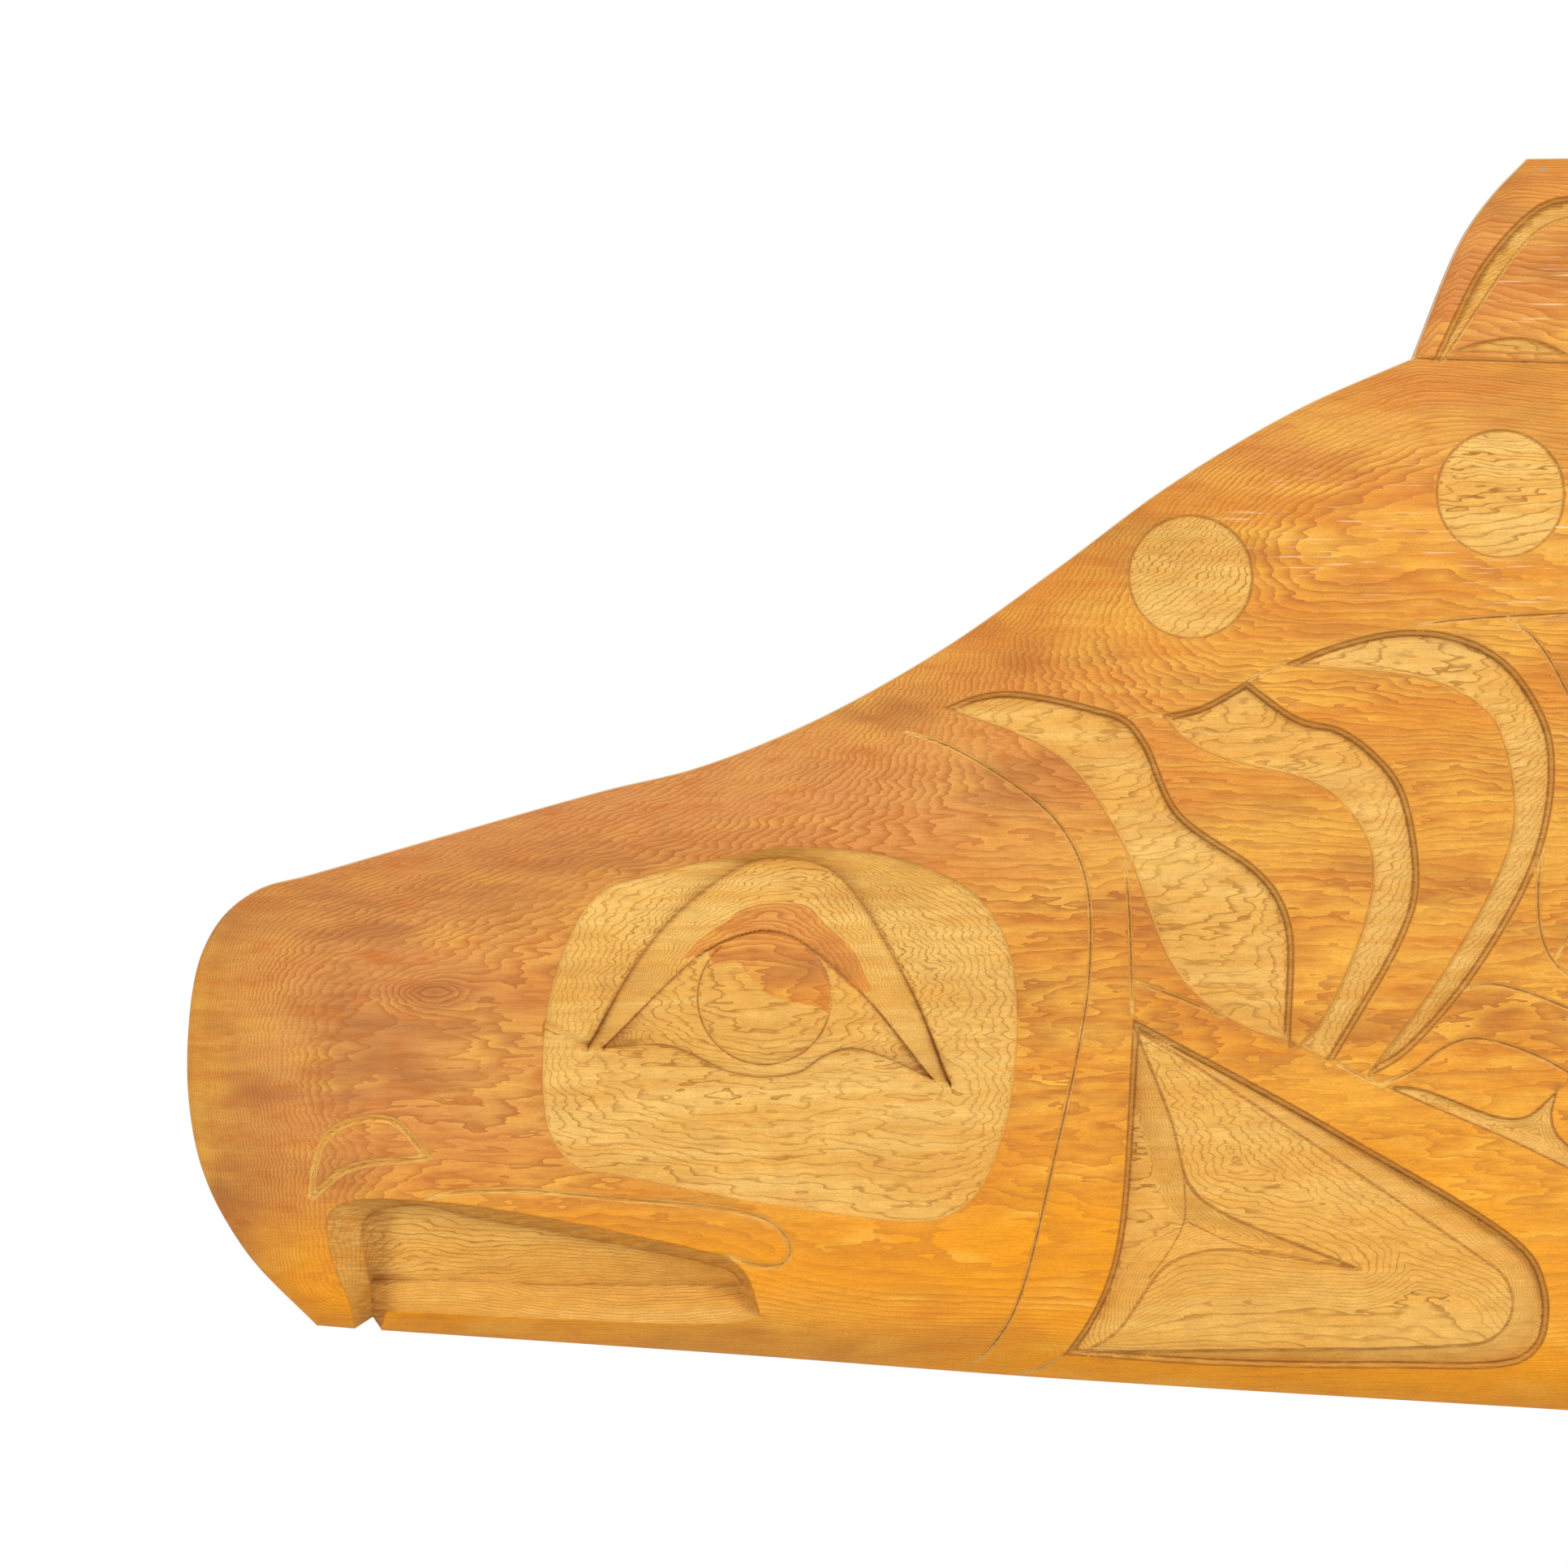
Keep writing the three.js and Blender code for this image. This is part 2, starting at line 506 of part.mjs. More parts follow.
// The outline first, so that it is kept whole, then the cuts, then a fill that is finer in the
// carved hollows.
function surfacePoints() {
  const rim = rows(outline, [0], ROW_STEP).filter(
    (p, i, all) => i === 0 || (p.distanceTo(all[i - 1]) > 0.01 && p.distanceTo(all[0]) > 0.01));
  const rimCurve = { chain: rim };
  const inside = (p) => Curve.prototype.contains.call(rimCurve, p);
  const half = GROOVE_WIDTH / 2;
  const cuts = [
    ...roots.flatMap((line) => rows(line, [0, half + 0.5, -half - 0.5], ROW_STEP)),
    ...grooves.flatMap((line) => rows(line, [0, half, -half], ROW_STEP)),
    ...rows(nostril, [0, half, -half], 7),
    ...rows(mouth, [0], 8),
    ...rows(bevelFoot, [0], 8),
    ...rows(mouthCrease, [0], 10),
    ...rows(socket, [0, SPOT_WALL], ROW_STEP),
    ...[lidOuter, lidInner, lidLower].flatMap((line) => rows(line, [0], 6)),
    ...[lidInner, lidLower].flatMap((line) => rows(line, [5, -5], 8)),
    ...crescents.flatMap(({ whole, deep, soft }) => [
      ...rows(whole, [0], 10),
      ...rows(deep, [CRESCENT_WALL, -CRESCENT_WALL], 10),
      ...rows(soft, [CRESCENT_SOFT_WALL, -CRESCENT_SOFT_WALL], 10)]
      .filter((p) => whole.contains(p) || whole.distance(p) < 0.1)),
    ...rows(sideFinWall, [0, GROUND_WALL], ROW_STEP),
    ...rows(sideFinBlade, [0.6, -0.6], ROW_STEP).filter((p) => sideFinWall.contains(p)),
    ...rows(finBand, [0], ROW_STEP),
    ...rows(finBandWall, [-GROUND_WALL], ROW_STEP),
    ...rows(finField, [-half], ROW_STEP),
    ...[...sunkForms, flankNotch].flatMap((form) => rows(form, [0, FORM_WALL], 9)),
    ...spots.flatMap((spot) => rows(spot, [0, SPOT_WALL], 8)),
  ].filter((p) => inside(p) && outline.distance(p) > CLOSEST);
  const edgeRow = rows(outline, [EDGE_ROW], ROW_STEP).filter(inside);
  const bellyRows = rows(outline, [0.45 * BELLY_ROUNDING, 0.9 * BELLY_ROUNDING], 2 * ROW_STEP)
    .filter((p) => inside(p) && belly(p) > 0.1);
  const kept = [...rim];
  const keep = (points, gap) => points.forEach((p) => {
    if (kept.every((q) => q.distanceTo(p) > gap)) {
      kept.push(p);
    }
  });
  keep(cuts, CLOSEST);
  keep(edgeRow, EDGE_ROW * 0.8);
  keep(bellyRows, EDGE_ROW);
  [socket, mouth, sideFinWall].forEach((form) => {
    const clear = (p) => form.contains(p) && form.distance(p) > 0.7 * FINE_STEP
      && !sideFinBlade.contains(p);
    keep(evenFill(form.box, FINE_STEP).filter(clear), FINE_STEP * 0.45);
  });
  keep(evenFill(outline.box, FILL_STEP).filter(inside), FILL_STEP * 0.45);
  return { points: kept, rim, inside };
}

// Delaunay triangles of the points, swept from left to right.
function triangulate(points) {
  const order = points.map((_, i) => i).sort((a, b) => points[a].x - points[b].x);
  const far = 1e5;
  const all = [...points, new THREE.Vector2(-far, -far), new THREE.Vector2(far, -far),
    new THREE.Vector2(0, far)];
  const nudged = all.map((p, i) => ({
    x: p.x + 1e-5 * Math.sin(i * 7.3),
    y: p.y + 1e-5 * Math.cos(i * 4.1),
  }));
  const withCircle = (a, b, c) => {
    const [p, q, r] = [nudged[a], nudged[b], nudged[c]];
    const qx = q.x - p.x;
    const qy = q.y - p.y;
    const rx = r.x - p.x;
    const ry = r.y - p.y;
    const d = 2 * (qx * ry - qy * rx);
    const x = (ry * (qx * qx + qy * qy) - qy * (rx * rx + ry * ry)) / d;
    const y = (qx * (rx * rx + ry * ry) - rx * (qx * qx + qy * qy)) / d;
    return { a, b, c, x: p.x + x, y: p.y + y, r2: x * x + y * y };
  };
  let active = [withCircle(points.length, points.length + 1, points.length + 2)];
  const done = [];
  for (const index of order) {
    const p = nudged[index];
    const edges = new Map();
    const rest = [];
    for (const t of active) {
      const dx = p.x - t.x;
      const dy = p.y - t.y;
      if (dx > 0 && dx * dx > t.r2) {
        done.push(t);
      } else if (dx * dx + dy * dy > t.r2) {
        rest.push(t);
      } else {
        for (const [from, to] of [[t.a, t.b], [t.b, t.c], [t.c, t.a]]) {
          const key = from < to ? `${from} ${to}` : `${to} ${from}`;
          edges.set(key, edges.has(key) ? null : [from, to]);
        }
      }
    }
    for (const edge of edges.values()) {
      if (edge) {
        rest.push(withCircle(edge[0], edge[1], index));
      }
    }
    active = rest;
  }
  const n = points.length;
  return [...done, ...active].filter(({ a, b, c }) => a < n && b < n && c < n)
    .map(({ a, b, c }) => {
      const turn = points[b].clone().sub(points[a]).cross(points[c].clone().sub(points[a]));
      return turn > 0 ? [a, b, c] : [a, c, b];
    });
}

// Carved face, side walls down to the back, and the flat back itself.
function salmonGeometry() {
  const { points, rim, inside } = surfacePoints();
  const middle = new THREE.Vector2();
  const face = triangulate(points).filter((corners) => {
    middle.set(0, 0);
    corners.forEach((i) => middle.addScaledVector(points[i], 1 / 3));
    return inside(middle);
  });
  const front = points.map((p) => [p.x, -(uncutHeight(p) - cutDepth(p)), p.y]);
  const back = rim.map((p) => [p.x, 0, p.y]);
  const triangles = face.map((corners) => corners.map((i) => front[i]));
  rim.forEach((_, i) => {
    const j = (i + 1) % rim.length;
    triangles.push([front[i], front[j], back[i]], [front[j], back[j], back[i]]);
  });
  for (const corners of THREE.ShapeUtils.triangulateShape(rim, [])) {
    triangles.push(corners.map((i) => back[i]).reverse());
  }
  const geometry = new THREE.BufferGeometry();
  geometry.setAttribute('position', new THREE.Float32BufferAttribute(triangles.flat(2), 3));
  geometry.translate(-HANG_ALONG, 0, -HANG_UP);
  geometry.computeVertexNormals();
  return geometry;
}

const salmon = new THREE.Mesh(
  salmonGeometry(),
  new THREE.MeshStandardMaterial({ color: 0xd98c45, roughness: 0.5, metalness: 0 }),
);
salmon.name = 'salmon';

const carving = new THREE.Group();
carving.add(salmon);

export default carving;
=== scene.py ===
# Cedar salmon, carved in relief from one plank and hung on a wall. It is shown straight on, as it hangs.
# Numbers of the carving are in millimetres and become metres when its mesh is made.

import math

import bpy
import numpy as np
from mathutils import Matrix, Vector
from mathutils.geometry import delaunay_2d_cdt
from mathutils.kdtree import KDTree


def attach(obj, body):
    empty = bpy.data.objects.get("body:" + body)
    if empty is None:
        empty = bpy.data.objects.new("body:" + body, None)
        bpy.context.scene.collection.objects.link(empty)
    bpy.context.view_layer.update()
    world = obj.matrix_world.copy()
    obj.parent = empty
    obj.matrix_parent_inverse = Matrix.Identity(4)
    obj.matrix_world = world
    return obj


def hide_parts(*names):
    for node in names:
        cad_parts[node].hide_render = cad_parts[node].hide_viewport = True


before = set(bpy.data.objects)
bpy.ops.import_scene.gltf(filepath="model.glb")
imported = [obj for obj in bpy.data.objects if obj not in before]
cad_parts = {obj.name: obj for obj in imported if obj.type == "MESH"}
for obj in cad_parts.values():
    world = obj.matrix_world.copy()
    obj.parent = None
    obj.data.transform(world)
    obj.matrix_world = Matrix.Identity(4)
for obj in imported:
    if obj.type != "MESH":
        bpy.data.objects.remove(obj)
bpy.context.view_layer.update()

# The plank: one thick board of red cedar, sawn to the fish's outline. Its face is rounded over, far
# along the back and only a little at the belly, where the sawn edge stays. Fins and tail are thinner
# plates of the same board.

LENGTH = 1604
SHARE = LENGTH / 1000  # curves are drawn in thousandths of the length
HANG = np.array([461, 120]) * SHARE  # the hanging point on the back, along and up

CREST = 66
CROWN, CROWN_REACH = 7, 2.4
TAIL_THINNING, THINS_FROM, THINS_OVER = 14, 550, 350
BACK_EDGE, BACK_ROUNDING = 24, 92
BELLY_EDGE, BELLY_ROUNDING = 50, 28
BELLY_BELOW, BELLY_BEFORE = -45, 640  # where the sawn belly edge lies, in shares up and along
ROUNDNESS = 2.2
PLATE, PLATE_EDGE_DROP, PLATE_ROUNDING = 27, 5, 8
EASED_EDGE = 1.6

OUTLINE = [
    [(51.9, -79.1), (40.2, -78.1)],
    [(40.2, -78.1), (17.7, -55.1), (5.2, -32.4), (0.2, -7.5), (1.2, 22.4), (4.7, 36.9), (11.5, 48.1),
     (22.2, 56.1), (37.7, 60.4), (127.5, 86.1), (157.4, 93.5), (192.3, 107.5), (232.2, 129.7),
     (267.1, 154.2), (302.1, 180.1), (342, 203.8), (377.4, 219.5)],
    [(377.4, 219.5), (392.6, 256.2), (402.3, 270.1), (412.8, 281.1)],
    [(412.8, 281.1), (442.2, 281.4), (471.7, 281.1)],
    [(471.7, 281.1), (491.6, 272.4), (507.1, 254.4), (517.8, 233.2), (527.8, 215)],
    [(527.8, 215), (591.4, 203), (656.3, 179.6), (691.2, 161.6), (731.1, 137.7)],
    [(731.1, 137.7), (753.6, 145.9), (776, 147.7), (789, 144.2), (788, 135.9), (766, 117.7)],
    [(766, 117.7), (805.9, 100.3), (845.8, 88.6), (870.8, 87.8)],
    [(870.8, 87.8), (890.7, 98.5), (943.1, 139.7), (968.1, 153.4), (988, 159.6), (999.3, 156.1)],
    [(999.3, 156.1), (983, 109.8), (972.6, 72.3), (970.1, 33.7), (974.1, -3.7), (984.5, -38.7),
     (998.5, -74.3), (1000, -86.8)],
    [(1000, -86.8), (988, -90.3), (943.1, -69.8), (890.7, -31.2), (870.8, -21.2)],
    [(870.8, -21.2), (830.9, -24.9), (791, -35.4), (751.1, -49.9)],
    [(751.1, -49.9), (746.6, -67.3), (738.6, -84.8), (726.1, -100.3), (718.6, -104.3)],
    [(718.6, -104.3), (706.2, -101.8), (691.2, -92.3), (678.7, -77.8)],
    [(678.7, -77.8), (636.3, -93), (581.4, -105.3), (524.1, -110.3), (471.7, -107.3),
     (424.8, -104.2), (267.1, -94.4), (167, -86.9), (60.1, -79.6)],
    [(60.1, -79.6), (57.4, -75.6)],
    [(57.4, -75.6), (51.9, -79.1)],
]
DORSAL_ROOT = [(377.4, 219.5), (441.8, 217.5), (491.6, 216.5), (527.8, 215)]
SMALL_FIN_ROOT = [(731.1, 137.7), (749.8, 129.7), (766, 117.7)]
TAIL_ROOT = [(870.8, 87.8), (890.7, 72.3), (903.2, 52.4), (907.2, 33.4), (903.2, 14.5),
             (890.7, -5.7), (870.8, -21.2)]
ANAL_ROOT = [(751.1, -49.9), (715, -65.1), (678.7, -77.8)]


def ease(t):
    t = np.clip(t, 0, 1)
    return t * t * (3 - 2 * t)


def mix(a, b, t):
    return a + (b - a) * t


def stroke(points, step):
    """The smooth line through one stroke's points, in even steps."""
    p = np.array(points, float) * SHARE
    p = np.vstack([2 * p[0] - p[1], p, 2 * p[-1] - p[-2]])
    gap = np.sqrt(np.linalg.norm(np.diff(p, axis=0), axis=1))[:, None]
    out = (p[1:-2] - p[:-3]) / gap[:-2] - (p[2:-1] - p[:-3]) / (gap[:-2] + gap[1:-1])
    arrive = (p[2:-1] - p[1:-2]) / gap[1:-1] - (p[3:] - p[1:-2]) / (gap[1:-1] + gap[2:])
    between = (p[2:-1] - p[1:-2]) / gap[1:-1]
    out = (out + between) * gap[1:-1]
    arrive = (arrive + (p[3:] - p[2:-1]) / gap[2:]) * gap[1:-1]
    a, b = p[1:-2, None], p[2:-1, None]
    out, arrive = out[:, None], arrive[:, None]
    t = np.linspace(0, 1, 41)[None, :-1, None]
    line = a + out * t + (3 * (b - a) - 2 * out - arrive) * t**2 + (2 * (a - b) + out + arrive) * t**3
    line = np.vstack([line.reshape(-1, 2), p[-2]])
    along = np.concatenate([[0], np.cumsum(np.linalg.norm(np.diff(line, axis=0), axis=1))])
    even = np.linspace(0, along[-1], max(1, math.ceil(along[-1] / step)) + 1)
    return np.stack([np.interp(even, along, line[:, k]) for k in (0, 1)], axis=1)


class Curve:
    """A drawn line as a fine chain of points."""

    def __init__(self, strokes, closed=False):
        chains = [stroke(s, 1) for s in strokes]
        self.chain = np.vstack([chains[0]] + [c[1:] for c in chains[1:]])
        self.low, self.high = self.chain.min(0), self.chain.max(0)
        a, b = self.chain[:-1], self.chain[1:]
        self.inward = -1 if closed and np.sum(a[:, 0] * b[:, 1] - a[:, 1] * b[:, 0]) < 0 else 1
        self.points = KDTree(len(self.chain) - closed)
        for i, (x, y) in enumerate(self.chain[:-1] if closed else self.chain):
            self.points.insert((x, y, 0), i)
        self.points.balance()
        if closed:
            before, after = self.chain[[-2, *range(len(a) - 1)]], b
        else:
            before = np.vstack([2 * a[0] - b[0], self.chain[:-1]])
            after = np.vstack([self.chain[1:], 2 * b[-1] - a[-1]])
        self.sides = [before, after]

    def near(self, at, margin):
        return np.all((at > self.low - margin) & (at < self.high + margin), axis=1)

    def signed(self, at):
        """Distance from the curve, positive on its inner side or on the left of its run."""
        nearest = np.array([self.points.find((x, y, 0))[1] for x, y in at], int).reshape(-1)
        here, (before, after) = self.chain[nearest], self.sides
        before, after = before[nearest], after[nearest]
        best, side = np.full(len(at), np.inf), np.zeros(len(at))
        for start, end in ((before, here), (here, after)):
            span, way = end - start, at - start
            t = np.clip(np.sum(way * span, 1) / np.maximum(np.sum(span * span, 1), 1e-12), 0, 1)
            away = np.linalg.norm(way - t[:, None] * span, axis=1)
            turn = span[:, 0] * way[:, 1] - span[:, 1] * way[:, 0]
            corner = after - before
            turn = np.where((t > 0) & (t < 1), turn, corner[:, 0] * (at - here)[:, 1]
                            - corner[:, 1] * (at - here)[:, 0])
            closer = away < best
            best, side = np.where(closer, away, best), np.where(closer, turn, side)
        return best * np.where(side * self.inward > 0, 1, -1)

    def distance(self, at):
        return np.abs(self.signed(at))

    def contains(self, at):
        return self.signed(at) > -1e-3

    def within(self, at):
        """Which of the points lie inside a closed curve."""
        close = np.flatnonzero(self.near(at, 1))
        return close[self.contains(at[close])]


outline = Curve(OUTLINE, True)
body = Curve([*OUTLINE[:2], DORSAL_ROOT, OUTLINE[5], SMALL_FIN_ROOT, OUTLINE[7], TAIL_ROOT,
              OUTLINE[11], ANAL_ROOT, *OUTLINE[14:]], True)
roots = [Curve([r]) for r in (DORSAL_ROOT, SMALL_FIN_ROOT, TAIL_ROOT, ANAL_ROOT)]


def belly(at):
    along, up = at[:, 0] / SHARE, at[:, 1] / SHARE
    return ease((BELLY_BELOW - up) / 30) * (1 - ease((along - BELLY_BEFORE) / 100))


def body_height(at):
    """Every stretch of edge pulls the face down to its own thickness, the nearer the stronger."""
    edges = body.chain[::3]
    mid = (edges[1:] + edges[:-1]) / 2
    low_side = belly(mid)
    rounding = mix(BACK_ROUNDING, BELLY_ROUNDING, low_side)
    edge = mix(BACK_EDGE, BELLY_EDGE, low_side)
    share = np.linalg.norm(np.diff(edges, axis=0), axis=1) * rounding**3
    pull, pulled = np.empty(len(at)), np.empty(len(at))
    for i in range(0, len(at), 4000):
        part = at[i:i + 4000]
        far = np.sum(part**2, 1)[:, None] + np.sum(mid**2, 1)[None] - 2 * part @ mid.T
        weight = share / np.maximum(far, 0.25) ** 2
        pull[i:i + 4000], pulled[i:i + 4000] = weight.sum(1), weight @ edge
    inward = np.minimum((pull / (np.pi / 2)) ** (-1 / 3), body.distance(at) / BELLY_ROUNDING)
    crest = CREST - TAIL_THINNING * ease((at[:, 0] / SHARE - THINS_FROM) / THINS_OVER)
    fall = (1 - np.clip(inward, 0, 1)) ** ROUNDNESS
    crown = CROWN * (1 - (1 - np.clip(inward / CROWN_REACH, 0, 1)) ** 2)
    return crest - (crest - pulled / pull) * fall + crown


def uncut_height(at):
    from_edge = outline.distance(at)
    inward = body.signed(at)
    plate = PLATE - PLATE_EDGE_DROP * (1 - np.clip(from_edge / PLATE_ROUNDING, 0, 1)) ** 2
    at_root = np.any([root.near(at, 6) for root in roots], axis=0)
    share = np.where(at_root, ease(0.5 + inward / 3), inward > -1)
    face = mix(plate, body_height(at), share)
    return face - EASED_EDGE * (1 - np.clip(from_edge / EASED_EDGE, 0, 1)) ** 2


# Incised lines: single strokes of a V tool in the cedar that part the cheek, gill, shoulder and flank,
# and outline the lip and the nostril. Varnish gathers in them and they run out at the ends.

# Every tool leaves rows for the mesh to follow, hollows for it to fill finely, and cuts. A cut takes
# points and gives which of them it reaches, how deep it goes there, how pale the fresh wood is, how
# dark it is from varnish and, in the mouth and the eye, from painted shade, and how many millimetres
# deeper its year rings lie.
tool_rows, hollows, cuts = [], [], []

GROOVE_WIDTH, GROOVE_DEPTH, GROOVE_RUN_OUT = 2.6, 1.4, 26
LIP_WIDTH, NOSTRIL_WIDTH = GROOVE_WIDTH + 1, GROOVE_WIDTH + 1.8

NOSTRIL = [[(38.7, -38.9), (39.7, -29.9), (42.7, -21.2), (48.9, -16.2), (63.4, -15), (74.6, -26.4)],
           [(74.6, -26.4), (50.1, -29.9), (38.7, -38.9)]]
LIP = [(74.6, -38.4), (85.1, -36.9), (102.5, -36.4), (127.5, -38.4), (168.6, -42.7), (178.6, -45.6),
       (184.3, -50.6), (185.6, -56.1), (182.8, -59.1), (177.4, -59.6), (166.6, -56.6)]
CHEEK = [(221.8, 104.3), (237.2, 98.5), (264.7, 79.8), (273.4, 67.3), (277.1, 54.9), (277.6, 32.4),
         (275.6, 15), (267.1, -24.9), (255.9, -69.8), (249.2, -82.3), (241.7, -90.2)]
GILL = [(288.4, 64.9), (289.8, 47.4), (290.6, 18)]
GILL_FOOT = [(269, -87.6), (263.5, -90.8), (256.5, -93)]
NECK = [(289.5, 108.6), (294.5, 109.4), (299, 109.2)]
NAPE = [(325.8, 119.7), (331, 122.4), (338, 125)]
SHOULDER = [(378, 137), (391.9, 138.7), (466.7, 141.7), (529.1, 138.4), (603.9, 124.7),
            (678.7, 101), (753.6, 74.8), (830.9, 53.6)]
JOINT = [(406.1, 139.2), (415.6, 131), (432.3, 94.8), (434.3, 72.3), (429.3, 52.4), (420.6, 34.9)]
HOLLOW = [(416.3, 67.3), (415.1, 54.9), (416.3, 41.2), (420.3, 33.2), (428, 26.9)]
FLANK = [(291.5, 27.6), (306, 22.2), (318, 17)]
FLANK_END = [(353.5, 2.4), (361, -1.4), (366.9, -4.2)]
UPPER_SCALE = [(392.6, 25.2), (400.6, 26.9), (424.8, 19.2), (444.3, 7.5), (479.2, -22.9),
               (504.1, -32.4), (541.5, -29.9)]
LOWER_SCALE = [(366.9, -4.2), (376.9, 0.5), (385.6, 7), (394.4, 10.2), (406.8, 8), (424.8, -0.5),
               (454.2, -24.9)]
SIDE_LINE = [(454.2, -34.9), (504.1, -39.4), (566.5, -33.7), (716.1, 5), (791, 21.2), (865.8, 28.7)]


def dark_band(amount, distance, width, core=0):
    """A dark band along a line, even in its core, then fading over its width. Varnish and painted shade
    both use it.
    """
    return amount * (1 - ease((distance - core) / width))


def groove(curve, width, depth, run_out=0, dark=0.8):
    def cut(at):
        reached = np.flatnonzero(curve.near(at, width))
        there = at[reached]
        far = curve.distance(there)
        ends = np.min([np.linalg.norm(there - e, axis=1) for e in (curve.chain[0], curve.chain[-1])], 0)
        full = np.clip(0.35 + ends / run_out, 0, 1) if run_out else 1
        side = 1 - np.clip(far / (width / 2), 0, 1)
        fresh = 1 - ease((far - 0.35 * width) / (0.2 * width))
        varnish_and_shade = dark_band(dark * full, far, 0.38 * width)
        return reached, depth * full * side, fresh * np.minimum(1, full * 1.6), varnish_and_shade, 0
    cuts.append(cut)
    tool_rows.append((curve, [0, 0.25 * width, -0.25 * width, 0.5 * width, -0.5 * width,
                              0.9 * width, -0.9 * width]))


groove(Curve([LIP]), LIP_WIDTH, GROOVE_DEPTH, GROOVE_RUN_OUT, 0.5)
for line in (CHEEK, GILL, GILL_FOOT, NECK, NAPE, SHOULDER, JOINT, HOLLOW, FLANK, FLANK_END,
             UPPER_SCALE, LOWER_SCALE, SIDE_LINE):
    groove(Curve([line]), GROOVE_WIDTH, GROOVE_DEPTH, GROOVE_RUN_OUT)
for root in roots:
    groove(root, GROOVE_WIDTH, GROOVE_DEPTH, 0, 0.5)
groove(Curve(NOSTRIL, True), NOSTRIL_WIDTH, GROOVE_DEPTH, 0, 0.45)

# Sunk forms: the round spots along the back, the open forms of the tail and the lens at the dorsal
# fin's root, each let in with a straight wall and a floor cleaned with a knife.

SPOT_DEPTH, SPOT_WALL, SPOT_LEAN = 1.8, 1.2, 0.28
FORM_DEPTH, FORM_WALL, FORM_TAN = 3, 1.5, 0.3
BARE_EDGE = 0.8  # a cut's wood is bare from this far inside its edge
RINGS_SUNK = 0.6  # the share of a cut's depth that its year rings follow
ROUND_POINTS = 16
SPOTS = [(308.8, 151.9, 19), (403.8, 177.4, 19.7), (500.4, 179.6, 19.2), (593.9, 165.9, 17.5),
         (681.2, 138.4, 15)]
TAIL_FORMS = [
    [[(910.7, 83.6), (930.7, 107.3), (978, 141.7)], [(978, 141.7), (958.1, 77.3), (956.1, 52.4)],
     [(956.1, 52.4), (943.1, 64.9), (910.7, 83.6)]],
    [[(910.7, -17), (930.7, -36.2), (979.3, -71.1)], [(979.3, -71.1), (958.8, -10), (956.1, 14.5)],
     [(956.1, 14.5), (943.1, 2), (910.7, -17)]],
]
FIN_LENS = [[(389.6, 221.4), (397.6, 224.4), (413.3, 225.6), (426.3, 220.4)],
            [(426.3, 220.4), (407, 221), (389.6, 221.4)]]


def sunk(curve, depth, wall, tan=0, lean=0):
    def cut(at):
        reached = curve.within(at)
        inward = curve.distance(at[reached])
        down = depth * (0.75 * np.clip(inward / wall, 0, 1) + 0.25 * np.clip(inward / 20, 0, 1))
        dark = np.maximum(tan, dark_band(0.6, inward, wall, 0.4))
        rings_below = RINGS_SUNK * down + lean * (at[reached, 1] - curve.low[1])
        return reached, down, ease(inward / BARE_EDGE), dark, rings_below
    cuts.append(cut)
    tool_rows.append((curve, [0, 0.5 * wall, wall, 2 * wall, -0.8]))
    hollows.append(curve)


def round_line(along, up, radius):
    turn = 2 * math.pi / ROUND_POINTS
    return [(along + radius * math.cos(i * turn), up + radius * math.sin(i * turn))
            for i in range(ROUND_POINTS + 1)]


for spot in SPOTS:
    sunk(Curve([round_line(*spot)], True), SPOT_DEPTH, SPOT_WALL, lean=SPOT_LEAN)
for form in TAIL_FORMS + [FIN_LENS]:
    sunk(Curve(form, True), FORM_DEPTH, FORM_WALL, tan=FORM_TAN)

# Gill crescents: three hollows behind the cheek, taken down with a bent knife. Each falls from a soft
# edge to a deep one, where a steep dark wall stands.

CRESCENT_DEPTH, CRESCENT_SOFT_DEPTH = 6, 2
CRESCENT_WALL, CRESCENT_SOFT_WALL = 2.6, 1.6
FINE_LINE, FINE_CORE = 0.9, 0.2  # a fine dark line fades over this, past its even core
WALL_TOP_LINE, WALL_FOOT_LINE, WALL_TAN = 0.8, 0.9, 0.38
CRESCENTS = [
    ([[(233.5, 111.7), (242.2, 115.2), (253.4, 116.7), (279.6, 111.7), (289.1, 108.3), (295.1, 101),
       (305.1, 79.8), (328.3, 62.9), (335, 55.4), (339.5, 43.7), (339, 9)]],
     [[(233.5, 111.7), (260.9, 101), (273.4, 91.8), (288.4, 68.6), (301.6, 34.9), (310.8, 22.9),
       (323.3, 14.5), (339, 9)]]),
    ([[(300.1, 109.3), (312, 112.2), (325.8, 119.7)],
      [(325.8, 119.7), (342, 108.5), (354.5, 105.3), (365.7, 97.3), (373.9, 86.1), (378.4, 57.4),
       (374.4, 42.4), (352, 3)]],
     [[(300.1, 109.3), (307.1, 101.8), (317, 96.8), (347, 88.3), (357.4, 79.8), (363.4, 69.3),
       (364.4, 58.6), (360.9, 42.4), (348.2, 15), (341.5, 8)], [(341.5, 8), (352, 3)]]),
    ([[(337, 124.7), (352, 130.7), (371.9, 135.2), (389.4, 133.9), (404.3, 126.7), (414.8, 113.5),
       (419.8, 98.5), (416.3, 68.6), (397.4, 32.4), (374.4, 5.5), (361.9, -2)]],
     [[(337, 124.7), (374.4, 121.7), (389.4, 117.2), (401.8, 107.3), (407.8, 78.6), (403.1, 61.1),
       (385.6, 29.9), (361.9, -2)]]),
]


def wall_stain(into, wall):
    """Varnish gathers along the top and the foot of a steep wall."""
    lines = np.maximum(dark_band(1, into, WALL_TOP_LINE), dark_band(1, np.abs(into - wall), WALL_FOOT_LINE))
    return np.where(into < wall + 1, np.maximum(lines, np.where(into < wall, WALL_TAN, 0)), 0)


def turned(strokes):
    return [s[::-1] for s in strokes[::-1]]


